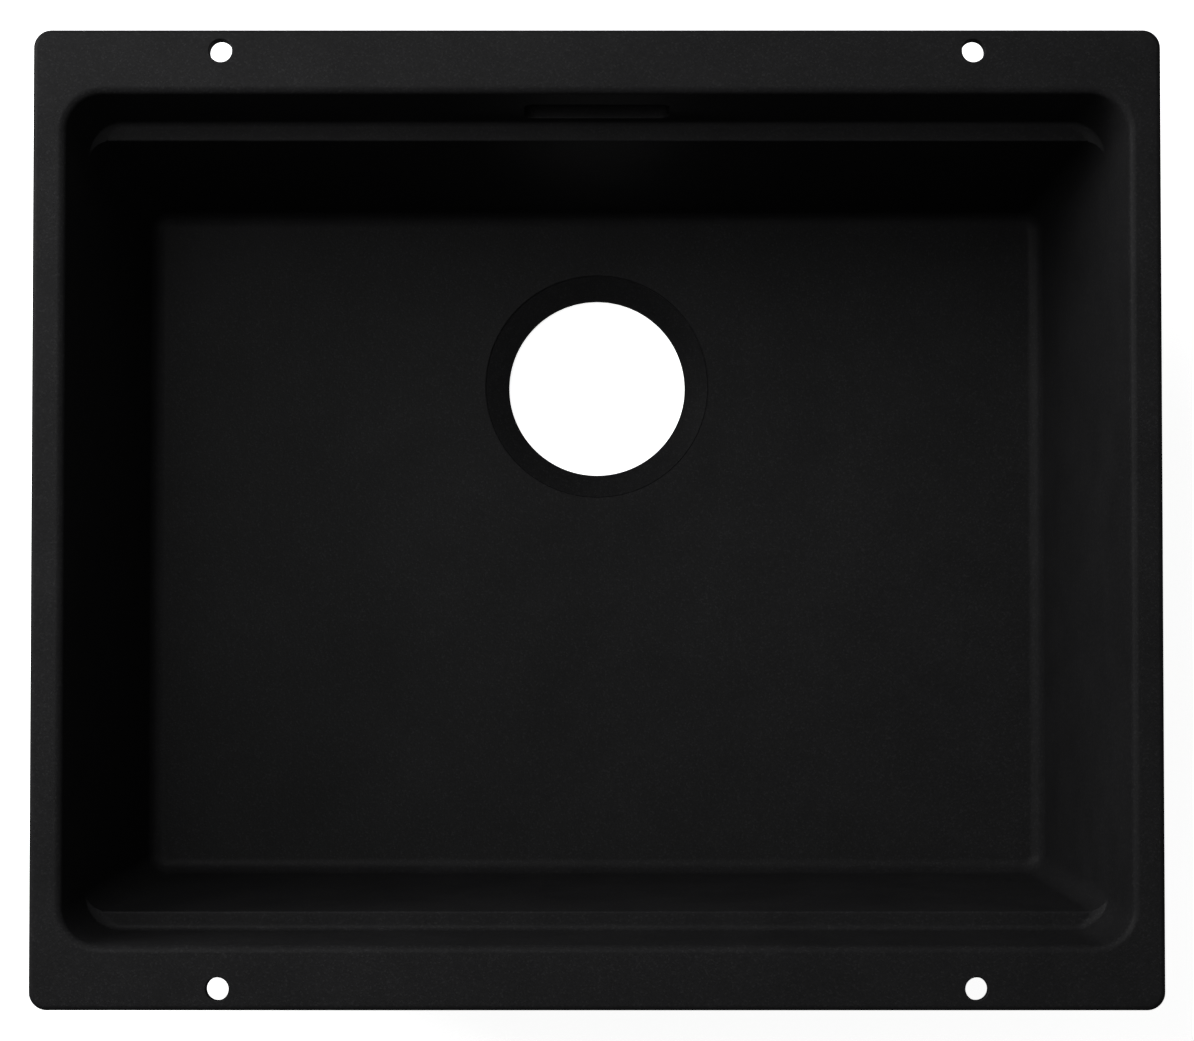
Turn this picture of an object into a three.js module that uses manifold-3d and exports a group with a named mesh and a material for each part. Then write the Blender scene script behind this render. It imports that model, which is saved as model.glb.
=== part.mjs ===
// Undermount kitchen sink: one cast stone-composite bowl and the overflow fitting behind its rear wall.
// Millimetres, +Z up. The origin is on the ground under the middle of the flange, +Y is the rear.

import * as THREE from 'three';
import { mergeVertices } from 'three/addons/utils/BufferGeometryUtils.js';
import Module from 'manifold-3d';

const wasm = await Module();
wasm.setup();

// ---------- driving dimensions ----------

const GAP = 0.3;                        // between pieces that touch

// casting
const FLANGE = { x: 530, y: 460, thickness: 9, cornerRadius: 8.4, edgeRadius: 2.5 };
const HEIGHT = 205;                     // ground to flange top
const BOWL = { x: 500, y: 400, depth: 190, cornerRadius: 17.5, rimRadius: 4 };
const DRAFT = Math.tan(THREE.MathUtils.degToRad(7));
const WALL = 8.5;                       // wall and floor thickness
const LEDGE = { depth: 50, width: 9, filletRadius: 3, edge: 1 };
const SIDE_STEP = 0.4;                  // what is left of the ledge on the side walls
const LOWER_CORNER_RADIUS = 10;
const FLOOR_FILLET = 8;
const FLOOR_FALL = 1.5;                 // from the walls to the waste
const FIXING = { spacingX: 354, spacingY: 440, diameter: 10.7, edge: 0.6 };
const WASTE = { y: 80, holeDiameter: 90, seatDiameter: 114, step: 1, coneDepth: 8.5, lip: 0.5 };
const WASTE_BOSS = { topRadius: 69, footRadius: 65 };
const PAD = { x: 190, y: 132, topRadius: 15, footRadius: 12 };
const SLOT = { width: 69, top: 20, bottom: 43, cornerRadius: 5 };

// overflow boss, gasket and housing; y runs away from the wall
const BOSS = { width: 124, y: 208, bottom: 148, cornerRadius: 6, chamfer: 3 };
const GASKET_THICKNESS = 2;
const PLATE = { width: 120, bottom: 149.5, top: 194.5, thickness: 3, cornerRadius: 6 };
const WINDOW = { width: 76, bottom: 157.5, top: 188, cornerRadius: 4 };
const HOUSING_WALL = 2;
const HOUSING_REAR_Y = 228.4;
const FUNNEL = { width: 44, bottom: 147 };

// spigot, elbow and their union
const SPIGOT = { y: 211, top: 133, end: 112, outerRadius: 12.5, boreRadius: 10 };
const SEAL_THICKNESS = 2;
const COLLAR = { radius: 12.9, thickness: 3.2 };
const ELBOW = { outerRadius: 11, boreRadius: 9, bendRadius: 14, bendTop: 90 };
const TAIL = { threadStart: 18, end: 36, threadRadius: 12, mouthRadius: 10.4, mouthDepth: 4 };
const SLIP_RING_THICKNESS = 1;
const UNION_NUT = { outerRadius: 17, boreRadius: 13.3, lipRadius: 11.4, lip: 3, grip: 9 };
const HOSE_SEAL = { boreRadius: 8, noseRadius: 10, flangeRadius: 12, flange: 3 };
const HOSE_NUT = { outerRadius: 16, boreRadius: 12.8, lipRadius: 8.8, lip: 3, grip: 11 };

// fasteners in the boss
const SCREW = { spacing: 104, low: 158, high: 187, radius: 2.5, headRadius: 4.75, head: 3, length: 12 };
const SOCKET = { radius: 1.7, depth: 1.6 };
const WASHER = { radius: 5, thickness: 1 };
const INSERT = { radius: 4, length: 6, grooveDepth: 0.4 };
const CLEARANCE_RADIUS = SCREW.radius + GAP;

// facets
const CORNER_STEPS = 6;
const BORE_STEPS = 24;
const WASTE_STEPS = 40;
const FASTENER_STEPS = 14;
const GRIP_RIBS = 12;

// ---------- worked-out levels ----------

const FLOOR_Z = HEIGHT - BOWL.depth;
const LEDGE_Z = HEIGHT - LEDGE.depth;
const FLANGE_BOTTOM = HEIGHT - FLANGE.thickness;
const DRAFT_ANGLE = Math.atan(DRAFT);

// ---------- meshes and solids ----------

function signedVolume(points, index) {
  let six = 0;
  for (let i = 0; i < index.length; i += 3) {
    const [a, b, c] = [points[index[i]], points[index[i + 1]], points[index[i + 2]]];
    six += a.dot(new THREE.Vector3().crossVectors(b, c));
  }
  return six / 6;
}

// Merges shared corners, drops empty triangles and turns the faces outwards.
function closedGeometry(geometry) {
  const bare = geometry.clone();
  for (const name of Object.keys(bare.attributes)) {
    if (name !== 'position') bare.deleteAttribute(name);
  }
  const merged = mergeVertices(bare, 1e-4);
  const position = merged.attributes.position;
  const points = [];
  for (let i = 0; i < position.count; i += 1) {
    points.push(new THREE.Vector3().fromBufferAttribute(position, i));
  }
  const index = [];
  for (let i = 0; i < merged.index.count; i += 3) {
    const [a, b, c] = [merged.index.getX(i), merged.index.getX(i + 1), merged.index.getX(i + 2)];
    if (a !== b && b !== c && c !== a) index.push(a, b, c);
  }
  if (signedVolume(points, index) < 0) index.reverse();
  merged.setIndex(index);
  return merged;
}

function solid(geometry) {
  const closed = closedGeometry(geometry);
  return new wasm.Manifold(new wasm.Mesh({
    numProp: 3,
    vertProperties: new Float32Array(closed.attributes.position.array),
    triVerts: new Uint32Array(closed.index.array),
  }));
}

function geometryOf(body) {
  const mesh = body.getMesh();
  const geometry = new THREE.BufferGeometry();
  geometry.setAttribute('position', new THREE.BufferAttribute(new Float32Array(mesh.vertProperties), 3));
  geometry.setIndex(new THREE.BufferAttribute(new Uint32Array(mesh.triVerts), 1));
  geometry.computeVertexNormals();
  return geometry;
}

function joined(bodies) {
  return bodies.reduce((sum, body) => sum.add(body));
}

function cutFrom(body, tools) {
  return tools.reduce((rest, tool) => rest.subtract(tool), body);
}

// A rounded rectangle in a level plane, as a ring of points seen anticlockwise from above.
function levelRing({ x = 0, y = 0, z, halfX, halfY, radius }) {
  const ring = [];
  const corners = [[1, 1], [-1, 1], [-1, -1], [1, -1]];
  corners.forEach(([signX, signY], quarter) => {
    for (let step = 0; step <= CORNER_STEPS; step += 1) {
      const angle = (quarter + step / CORNER_STEPS) * Math.PI / 2;
      ring.push(new THREE.Vector3(
        x + signX * (halfX - radius) + radius * Math.cos(angle),
        y + signY * (halfY - radius) + radius * Math.sin(angle),
        z,
      ));
    }
  });
  return ring;
}

// A round ring about a centre, in the plane of the two directions across and up.
function roundRing(centre, across, up, radiusAt, steps) {
  const ring = [];
  for (let i = 0; i < steps; i += 1) {
    const angle = i / steps * 2 * Math.PI;
    const radius = typeof radiusAt === 'number' ? radiusAt : radiusAt(i);
    ring.push(centre.clone()
      .addScaledVector(across, radius * Math.cos(angle))
      .addScaledVector(up, radius * Math.sin(angle)));
  }
  return ring;
}

// A closed body through a row of rings with the same number of points.
function loft(rings) {
  const count = rings[0].length;
  const points = rings.flat();
  const index = [];
  for (let level = 0; level < rings.length - 1; level += 1) {
    for (let i = 0; i < count; i += 1) {
      const next = (i + 1) % count;
      const [a, b] = [level * count + i, level * count + next];
      index.push(a, b, b + count, a, b + count, a + count);
    }
  }
  for (const [level, flip] of [[0, true], [rings.length - 1, false]]) {
    const centre = rings[level].reduce((sum, p) => sum.add(p), new THREE.Vector3()).divideScalar(count);
    const centreIndex = points.push(centre) - 1;
    for (let i = 0; i < count; i += 1) {
      const [a, b] = [level * count + i, level * count + (i + 1) % count];
      index.push(...(flip ? [b, a, centreIndex] : [a, b, centreIndex]));
    }
  }
  const geometry = new THREE.BufferGeometry().setFromPoints(points);
  geometry.setIndex(index);
  return solid(geometry);
}

// A turned body about a vertical axis: profile points are [radius, z].
function turned(profile, steps, x = 0, y = 0) {
  const outline = profile.map(([radius, z]) => new THREE.Vector2(radius, z));
  const geometry = new THREE.LatheGeometry(outline, steps);
  geometry.rotateX(Math.PI / 2);
  geometry.translate(x, y, 0);
  return solid(geometry);
}

// A turned ring of rectangular section.
function turnedRing(innerRadius, outerRadius, low, high, steps) {
  return turned([
    [innerRadius, low], [outerRadius, low], [outerRadius, high], [innerRadius, high], [innerRadius, low],
  ], steps);
}

function turnedDisc(radius, low, high, steps, x = 0, y = 0) {
  return turned([[0, low], [radius, low], [radius, high], [0, high]], steps, x, y);
}

function roundedShape(width, low, high, radius) {
  const half = width / 2;
  const shape = new THREE.Shape();
  shape.moveTo(half - radius, low);
  shape.absarc(half - radius, low + radius, radius, -Math.PI / 2, 0, false);
  shape.absarc(half - radius, high - radius, radius, 0, Math.PI / 2, false);
  shape.absarc(-half + radius, high - radius, radius, Math.PI / 2, Math.PI, false);
  shape.absarc(-half + radius, low + radius, radius, Math.PI, 1.5 * Math.PI, false);
  return shape;
}

// A plate with its outline in X and Z, from one y to another.
function uprightPlate(shape, fromY, toY) {
  const geometry = new THREE.ExtrudeGeometry(shape, {
    depth: toY - fromY,
    bevelEnabled: false,
    curveSegments: 4,
  });
  geometry.rotateX(Math.PI / 2);
  geometry.translate(0, toY, 0);
  return solid(geometry);
}

// A pin along Y, for screw holes.
function pinAlongY(x, z, radius, fromY, toY) {
  const geometry = new THREE.CylinderGeometry(radius, radius, toY - fromY, FASTENER_STEPS);
  geometry.translate(x, (fromY + toY) / 2, z);
  return solid(geometry);
}

// ---------- casting ----------

function upperHalf(z) {
  const inset = (HEIGHT - z) * DRAFT;
  return [BOWL.x / 2 - inset, BOWL.y / 2 - inset];
}

function lowerHalf(z) {
  const [ledgeX, ledgeY] = upperHalf(LEDGE_Z);
  const inset = (LEDGE_Z - z) * DRAFT;
  return [ledgeX - SIDE_STEP - inset, ledgeY - LEDGE.width - inset];
}

// The concave quarter where a level floor meets a drafted wall: how far it stands in from the wall, and up.
function floorFillet(radius, steps) {
  const turn = Math.PI / 2 - DRAFT_ANGLE;
  const centre = radius * DRAFT - radius / Math.cos(DRAFT_ANGLE);
  const points = [];
  for (let i = 0; i <= steps; i += 1) {
    const angle = -Math.PI / 2 + turn * i / steps;
    points.push({ out: centre + radius * Math.cos(angle), up: radius * (1 + Math.sin(angle)) });
  }
  return points;
}

// The convex rim where the drafted wall rolls into the flange's top face.
function rimRound(radius, steps) {
  const turn = Math.PI / 2 - DRAFT_ANGLE;
  const centre = radius / Math.cos(DRAFT_ANGLE);
  const points = [];
  for (let i = 0; i <= steps; i += 1) {
    const angle = Math.PI - DRAFT_ANGLE - turn * i / steps;
    points.push({ out: centre + radius * Math.cos(angle), up: radius * Math.sin(angle) });
  }
  return points;
}

function bowlHollow() {
  const rings = [];
  const wallLow = FLOOR_Z + FLOOR_FALL;
  const [floorX, floorY] = lowerHalf(wallLow);
  for (const { out, up } of floorFillet(FLOOR_FILLET, 3)) {
    const wallAt = up * DRAFT;
    rings.push(levelRing({
      z: wallLow + up,
      halfX: floorX + out,
      halfY: floorY + out,
      radius: Math.max(LOWER_CORNER_RADIUS + out - wallAt, 2),
    }));
  }
  const [lipX, lipY] = lowerHalf(LEDGE_Z - LEDGE.edge);
  rings.push(levelRing({ z: LEDGE_Z - LEDGE.edge, halfX: lipX, halfY: lipY, radius: LOWER_CORNER_RADIUS }));
  rings.push(levelRing({
    z: LEDGE_Z,
    halfX: lipX + SIDE_STEP / 2,
    halfY: lipY + LEDGE.edge,
    radius: LOWER_CORNER_RADIUS + SIDE_STEP / 2,
  }));
  const [ledgeX, ledgeY] = upperHalf(LEDGE_Z);
  for (const { out, up } of floorFillet(LEDGE.filletRadius, 2)) {
    rings.push(levelRing({
      z: LEDGE_Z + up,
      halfX: ledgeX + up * DRAFT,
      halfY: ledgeY + out,
      radius: BOWL.cornerRadius,
    }));
  }
  const rimZ = HEIGHT - BOWL.rimRadius;
  const [rimX, rimY] = upperHalf(rimZ);
  for (const { out, up } of rimRound(BOWL.rimRadius, 3)) {
    rings.push(levelRing({
      z: rimZ + up,
      halfX: rimX + out,
      halfY: rimY + out,
      radius: BOWL.cornerRadius + out,
    }));
  }
  const above = rings.at(-1).map((point) => point.clone().setZ(HEIGHT + 5));
  rings.push(above);
  return loft(rings);
}

// The waste hole with its dished seat, and the fall of the floor towards it.
function wasteHollow() {
  const hole = WASTE.holeDiameter / 2;
  const seat = WASTE.seatDiameter / 2;
  const seatZ = FLOOR_Z - WASTE.step;
  const coneZ = seatZ - WASTE.coneDepth;
  return turned([
    [0, -5], [hole, -5], [hole, coneZ - WASTE.lip], [hole + WASTE.lip, coneZ], [seat - 1, seatZ],
    [seat, seatZ + 0.3], [seat, FLOOR_Z + 0.2], [seat + 1, FLOOR_Z + 20], [0, FLOOR_Z + 20],
  ], WASTE_STEPS, 0, WASTE.y);
}

// A shallow dish from the foot of the walls down to the waste.
function floorFallHollow() {
  const [floorX, floorY] = lowerHalf(FLOOR_Z + FLOOR_FALL);
  const inset = FLOOR_FILLET;
  const seat = WASTE.seatDiameter / 2 + 0.5;
  const low = levelRing({ y: WASTE.y, z: FLOOR_Z, halfX: seat, halfY: seat, radius: seat });
  const rim = {
    halfX: floorX - inset,
    halfY: floorY - inset,
    radius: 2,
  };
  return loft([
    low,
    levelRing({ z: FLOOR_Z + FLOOR_FALL, ...rim }),
    levelRing({ z: FLOOR_Z + FLOOR_FALL + 4, ...rim }),
  ]);
}

function fixingHole(x, y) {
  const radius = FIXING.diameter / 2;
  return turned([
    [0, FLANGE_BOTTOM - 5], [radius, FLANGE_BOTTOM - 5], [radius, HEIGHT - FIXING.edge],
    [radius + FIXING.edge, HEIGHT], [radius + FIXING.edge, HEIGHT + 5], [0, HEIGHT + 5],
  ], FASTENER_STEPS, x, y);
}

function fixingHoles() {
  const holes = [];
  for (const sideX of [-1, 1]) {
    for (const sideY of [-1, 1]) {
      holes.push(fixingHole(sideX * FIXING.spacingX / 2, sideY * FIXING.spacingY / 2));
    }
  }
  return holes;
}

function flangePlate() {
  const { x, y, cornerRadius, edgeRadius } = FLANGE;
  const rings = [levelRing({ z: FLANGE_BOTTOM, halfX: x / 2, halfY: y / 2, radius: cornerRadius })];
  for (let i = 0; i <= 3; i += 1) {
    const angle = i / 3 * Math.PI / 2;
    const inset = edgeRadius * (1 - Math.cos(angle));
    rings.push(levelRing({
      z: HEIGHT - edgeRadius * (1 - Math.sin(angle)),
      halfX: x / 2 - inset,
      halfY: y / 2 - inset,
      radius: cornerRadius - inset,
    }));
  }
  return loft(rings);
}

// The outside of the bowl follows the inside at one wall thickness.
function bowlOutside() {
  const footZ = FLOOR_Z - WALL;
  const outerFoot = FLOOR_FILLET + WALL;
  const [footX, footY] = lowerHalf(footZ).map((half) => half + WALL);
  const rings = [];
  for (const { out, up } of floorFillet(outerFoot, 4)) {
    rings.push(levelRing({
      z: footZ + up,
      halfX: footX + out,
      halfY: footY + out,
      radius: Math.max(LOWER_CORNER_RADIUS + WALL + out - up * DRAFT, 3),
    }));
  }
  const stepZ = LEDGE_Z - WALL;
  const [lowX, lowY] = lowerHalf(stepZ).map((half) => half + WALL);
  rings.push(levelRing({ z: stepZ, halfX: lowX, halfY: lowY, radius: LOWER_CORNER_RADIUS + WALL }));
  const [highX, highY] = upperHalf(stepZ + 2).map((half) => half + WALL);
  rings.push(levelRing({ z: stepZ + 2, halfX: highX, halfY: highY, radius: BOWL.cornerRadius + WALL }));
  const [topX, topY] = upperHalf(FLANGE_BOTTOM + 2).map((half) => half + WALL);
  rings.push(levelRing({ z: FLANGE_BOTTOM + 2, halfX: topX, halfY: topY, radius: BOWL.cornerRadius + WALL }));
  return loft(rings);
}

function wasteBoss() {
  return turned([
    [0, 0], [WASTE_BOSS.footRadius, 0], [WASTE_BOSS.topRadius, FLOOR_Z - 2], [0, FLOOR_Z - 2],
  ], WASTE_STEPS, 0, WASTE.y);
}

// Four moulded pads, level with the waste boss, so that the sink stands level.
function standingPads() {
  const pads = [];
  for (const sideX of [-1, 1]) {
    for (const sideY of [-1, 1]) {
      pads.push(turned([
        [0, 0], [PAD.footRadius, 0], [PAD.topRadius, FLOOR_Z - 3], [0, FLOOR_Z - 3],
      ], BORE_STEPS, sideX * PAD.x, sideY * PAD.y));
    }
  }
  return pads;
}

function overflowBoss() {
  const { width, y, bottom, cornerRadius, chamfer } = BOSS;
  const backY = BOWL.y / 2 - 5;
  const high = FLANGE_BOTTOM + 6;
  const face = uprightPlate(roundedShape(width, bottom, high, cornerRadius), backY, y);
  const foot = uprightPlate(roundedShape(width + 2 * chamfer, bottom - chamfer, high, cornerRadius), backY, y - 6);
  return face.add(foot);
}

function overflowSlot() {
  const shape = roundedShape(SLOT.width, HEIGHT - SLOT.bottom, HEIGHT - SLOT.top, SLOT.cornerRadius);
  return uprightPlate(shape, BOWL.y / 2 - 15, BOSS.y + 5);
}

function screwPlaces() {
  const places = [];
  for (const z of [SCREW.low, SCREW.high]) {
    for (const side of [-1, 1]) {
      places.push({ x: side * SCREW.spacing / 2, z });
    }
  }
  return places;
}

function sinkBowl() {
  const outside = joined([flangePlate(), bowlOutside(), wasteBoss(), ...standingPads(), overflowBoss()]);
  const insertHoles = screwPlaces().map(({ x, z }) => (
    pinAlongY(x, z, INSERT.radius + GAP, BOSS.y - INSERT.length - 2 * GAP, BOSS.y + 2)
  ));
  return cutFrom(outside, [
    bowlHollow(), floorFallHollow(), wasteHollow(), overflowSlot(), ...fixingHoles(), ...insertHoles,
  ]);
}

// ---------- overflow gasket and housing ----------

const GASKET_Y = BOSS.y + GAP;
const PLATE_Y = GASKET_Y + GASKET_THICKNESS + GAP;

function windowCut(fromY, toY) {
  return uprightPlate(roundedShape(WINDOW.width, WINDOW.bottom, WINDOW.top, WINDOW.cornerRadius), fromY, toY);
}

function screwCuts(fromY, toY) {
  return screwPlaces().map(({ x, z }) => pinAlongY(x, z, CLEARANCE_RADIUS, fromY, toY));
}

function mountingOutline() {
  return roundedShape(PLATE.width, PLATE.bottom, PLATE.top, PLATE.cornerRadius);
}

function overflowGasket() {
  const sheet = uprightPlate(mountingOutline(), GASKET_Y, GASKET_Y + GASKET_THICKNESS);
  return cutFrom(sheet, [windowCut(GASKET_Y - 1, PLATE_Y), ...screwCuts(GASKET_Y - 1, PLATE_Y)]);
}

// Level sections of the housing's water way, grown by a wall for its outside.
function waterWay(grow) {
  const frontY = PLATE_Y + PLATE.thickness + HOUSING_WALL;
  const rearY = HOUSING_REAR_Y - HOUSING_WALL;
  const chamber = {
    y: (frontY + rearY) / 2,
    halfX: WINDOW.width / 2 + grow,
    halfY: (rearY - frontY) / 2 + grow,
    radius: 3 + grow,
  };
  const neck = { ...chamber, halfX: FUNNEL.width / 2 + grow };
  const round = SPIGOT.boreRadius + grow;
  const spigot = { y: SPIGOT.y, halfX: round, halfY: round, radius: round };
  return loft([
    levelRing({ ...spigot, z: SPIGOT.end - (grow ? 0 : 2) }),
    levelRing({ ...spigot, z: SPIGOT.top }),
    levelRing({ ...neck, z: FUNNEL.bottom }),
    levelRing({ ...chamber, z: WINDOW.bottom + 2 }),
    levelRing({ ...chamber, z: WINDOW.top + grow }),
  ]);
}

function overflowHousing() {
  const plate = uprightPlate(mountingOutline(), PLATE_Y, PLATE_Y + PLATE.thickness);
  const frame = uprightPlate(
    roundedShape(
      WINDOW.width + 2 * HOUSING_WALL,
      WINDOW.bottom - HOUSING_WALL,
      WINDOW.top + HOUSING_WALL,
      WINDOW.cornerRadius + HOUSING_WALL,
    ),
    PLATE_Y,
    PLATE_Y + PLATE.thickness + 2 * HOUSING_WALL,
  );
  const outside = joined([plate, frame, waterWay(SPIGOT.outerRadius - SPIGOT.boreRadius)]);
  const rearTrim = uprightPlate(roundedShape(200, 0, 300, 1), HOUSING_REAR_Y, HOUSING_REAR_Y + 20);
  return cutFrom(outside, [
    rearTrim,
    waterWay(0),
    windowCut(PLATE_Y - 1, PLATE_Y + PLATE.thickness + 2 * HOUSING_WALL),
    ...screwCuts(PLATE_Y - 1, PLATE_Y + PLATE.thickness + 0.1),
  ]);
}

// ---------- fasteners, each about its own origin with +Z along the screw's axis out of the boss ----------

function screwBody() {
  const { radius, headRadius, head, length } = SCREW;
  const blank = turned([
    [0, -length], [radius - 0.8, -length], [radius, -length + 0.8], [radius, 0], [headRadius, 0],
    [headRadius, head * 0.55], [headRadius * 0.72, head], [0, head],
  ], FASTENER_STEPS);
  const socket = turnedDisc(SOCKET.radius, head - SOCKET.depth, head + 1, 6);
  return blank.subtract(socket);
}

function washerBody() {
  return turnedRing(CLEARANCE_RADIUS, WASHER.radius, 0, WASHER.thickness, FASTENER_STEPS);
}

function insertBody() {
  const { radius, length, grooveDepth } = INSERT;
  const [low, high] = [length * 0.4, length * 0.6];
  return turned([
    [CLEARANCE_RADIUS, 0], [radius, 0], [radius, low], [radius - grooveDepth, low + 0.4],
    [radius - grooveDepth, high - 0.4], [radius, high], [radius, length], [CLEARANCE_RADIUS, length],
    [CLEARANCE_RADIUS, 0],
  ], FASTENER_STEPS);
}

// ---------- elbow and unions ----------

const SEAL_TOP = SPIGOT.end - GAP;
const COLLAR_TOP = SEAL_TOP - SEAL_THICKNESS - GAP;
const COLLAR_BOTTOM = COLLAR_TOP - COLLAR.thickness;
const UNION_RING_TOP = COLLAR_BOTTOM - GAP;
const UNION_LIP_TOP = UNION_RING_TOP - SLIP_RING_THICKNESS - GAP;
const TAIL_Z = ELBOW.bendTop - ELBOW.bendRadius;
const HOSE_SEAL_X = TAIL.end + GAP;
const HOSE_RING_X = HOSE_SEAL_X + HOSE_SEAL.flange + GAP;
const HOSE_LIP_X = HOSE_RING_X + SLIP_RING_THICKNESS + GAP;
const EAST = new THREE.Vector3(1, 0, 0);
const NORTH = new THREE.Vector3(0, 1, 0);
const UP = new THREE.Vector3(0, 0, 1);

// Rings down the neck, round the bend and along the tail; x is measured from the spigot's axis.
function elbowRun(neckLevels, radius, tailStations) {
  const rings = neckLevels.map(([z, neckRadius]) => (
    roundRing(new THREE.Vector3(0, SPIGOT.y, z), EAST, NORTH, neckRadius, BORE_STEPS)
  ));
  const bendSteps = 5;
  for (let i = 0; i <= bendSteps; i += 1) {
    const angle = i / bendSteps * Math.PI / 2;
    const across = new THREE.Vector3(Math.cos(angle), 0, Math.sin(angle));
    const centre = new THREE.Vector3(ELBOW.bendRadius, SPIGOT.y, ELBOW.bendTop)
      .addScaledVector(across, -ELBOW.bendRadius);
    rings.push(roundRing(centre, across, NORTH, radius, BORE_STEPS));
  }
  for (const [x, tailRadius] of tailStations) {
    rings.push(roundRing(new THREE.Vector3(x, SPIGOT.y, TAIL_Z), UP, NORTH, tailRadius, BORE_STEPS));
  }
  return loft(rings);
}

function outletElbow() {
  const { outerRadius, boreRadius } = ELBOW;
  const outside = elbowRun(
    [[COLLAR_TOP, COLLAR.radius], [COLLAR_BOTTOM, COLLAR.radius], [COLLAR_BOTTOM, outerRadius]],
    outerRadius,
    [[TAIL.threadStart, outerRadius], [TAIL.threadStart, TAIL.threadRadius], [TAIL.end, TAIL.threadRadius]],
  );
  const bore = elbowRun(
    [[COLLAR_TOP + 1, boreRadius]],
    boreRadius,
    [[TAIL.end - TAIL.mouthDepth, boreRadius], [TAIL.end, TAIL.mouthRadius], [TAIL.end + 1, TAIL.mouthRadius]],
  );
  return outside.subtract(bore);
}

function outletSeal() {
  return turnedRing(SPIGOT.boreRadius, SPIGOT.outerRadius, SEAL_TOP - SEAL_THICKNESS, SEAL_TOP, BORE_STEPS);
}

function unionSlipRing() {
  return turnedRing(
    UNION_NUT.lipRadius, COLLAR.radius, UNION_RING_TOP - SLIP_RING_THICKNESS, UNION_RING_TOP, BORE_STEPS,
  );
}

// A nut with grip ribs, about +Z: its lip is at z from 0 to lip, its thread runs from there to its mouth.
function grippedNut({ outerRadius, boreRadius, lipRadius, lip, grip }, stack) {
  const steps = GRIP_RIBS * 4;
  const ribbed = (inset) => (i) => outerRadius - inset - (i % 4 < 2 ? 0 : 0.9);
  const height = lip + stack + grip;
  const at = (z, inset) => roundRing(new THREE.Vector3(0, 0, z), EAST, NORTH, ribbed(inset), steps);
  const outside = loft([at(0, 0.8), at(0.8, 0), at(height - 0.8, 0), at(height, 0.8)]);
  return cutFrom(outside, [
    turnedDisc(lipRadius, -1, lip + 1, BORE_STEPS),
    turnedDisc(boreRadius, lip, height + 1, BORE_STEPS),
  ]);
}

const UNION_STACK = SPIGOT.end - UNION_LIP_TOP;
const HOSE_STACK = HOSE_LIP_X - TAIL.end;

// A rubber cone that seals on the hose, about +Z: its nose points to -Z, into the elbow's mouth.
function hoseSealBody() {
  const { boreRadius, noseRadius, flangeRadius, flange } = HOSE_SEAL;
  const nose = TAIL.mouthDepth - 1;
  return turned([
    [boreRadius, -nose], [ELBOW.boreRadius - GAP, -nose], [noseRadius - GAP, 0], [flangeRadius, 0],
    [flangeRadius, flange - 0.5], [flangeRadius - 0.5, flange], [boreRadius, flange], [boreRadius, -nose],
  ], BORE_STEPS);
}

function hoseRingBody() {
  return turnedRing(HOSE_SEAL.boreRadius, HOSE_SEAL.flangeRadius, 0, SLIP_RING_THICKNESS, BORE_STEPS);
}

// ---------- materials ----------

function finish(color, roughness, metalness) {
  return () => new THREE.MeshStandardMaterial({ color, roughness, metalness });
}

const stoneComposite = finish(0x1c1c1d, 0.62, 0);
const blackRubber = finish(0x18191a, 0.85, 0);
const greyPlastic = finish(0x55585b, 0.5, 0);
const whitePlastic = finish(0xe4e4e0, 0.45, 0);
const blackPlastic = finish(0x202224, 0.45, 0);
const stainlessSteel = finish(0xb9bbbd, 0.3, 1);
const brass = finish(0xb8944c, 0.35, 1);

// ---------- assembly ----------

const sink = new THREE.Group();

function place(parent, name, body, material) {
  const mesh = new THREE.Mesh(geometryOf(body), material());
  mesh.name = name;
  parent.add(mesh);
  return mesh;
}

function addFasteners() {
  const screw = screwBody();
  const washer = washerBody();
  const insert = insertBody();
  const plateRear = PLATE_Y + PLATE.thickness;
  screwPlaces().forEach(({ x, z }, i) => {
    const stack = new THREE.Group();
    stack.position.set(x, 0, z);
    stack.rotation.x = -Math.PI / 2;
    sink.add(stack);
    place(stack, `threaded_insert_${i + 1}`, insert, brass).position.z = BOSS.y - INSERT.length - GAP;
    place(stack, `housing_washer_${i + 1}`, washer, stainlessSteel).position.z = plateRear + GAP;
    place(stack, `housing_screw_${i + 1}`, screw, stainlessSteel).position.z = (
      plateRear + WASHER.thickness + 2 * GAP
    );
  });
}

function addUnion() {
  const axis = new THREE.Group();
  axis.position.set(0, SPIGOT.y, 0);
  sink.add(axis);
  place(axis, 'outlet_seal', outletSeal(), blackRubber);
  place(axis, 'union_slip_ring', unionSlipRing(), whitePlastic);
  place(axis, 'union_nut', grippedNut(UNION_NUT, UNION_STACK), blackPlastic)
    .position.z = UNION_LIP_TOP - UNION_NUT.lip;
}

function addHoseEnd() {
  const axis = new THREE.Group();
  axis.position.set(0, SPIGOT.y, TAIL_Z);
  axis.rotation.y = Math.PI / 2;
  sink.add(axis);
  place(axis, 'hose_seal', hoseSealBody(), blackRubber).position.z = HOSE_SEAL_X;
  place(axis, 'hose_slip_ring', hoseRingBody(), whitePlastic).position.z = HOSE_RING_X;
  const nut = place(axis, 'hose_nut', grippedNut(HOSE_NUT, HOSE_STACK), blackPlastic);
  nut.position.z = HOSE_LIP_X + HOSE_NUT.lip;
  nut.rotation.x = Math.PI;
}

place(sink, 'sink_bowl', sinkBowl(), stoneComposite);
place(sink, 'overflow_gasket', overflowGasket(), blackRubber);
place(sink, 'overflow_housing', overflowHousing(), greyPlastic);
addFasteners();
addUnion();
place(sink, 'outlet_elbow', outletElbow(), greyPlastic);
addHoseEnd();

export default sink;
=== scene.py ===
"""Undermount kitchen sink in black stone composite, with the overflow fitting behind its rear wall.

Shapes are worked out in millimetres, in the frame's own axes, and written to meshes in metres.
"""

import math

import bmesh
import bpy
from mathutils import Matrix, Vector


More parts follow.
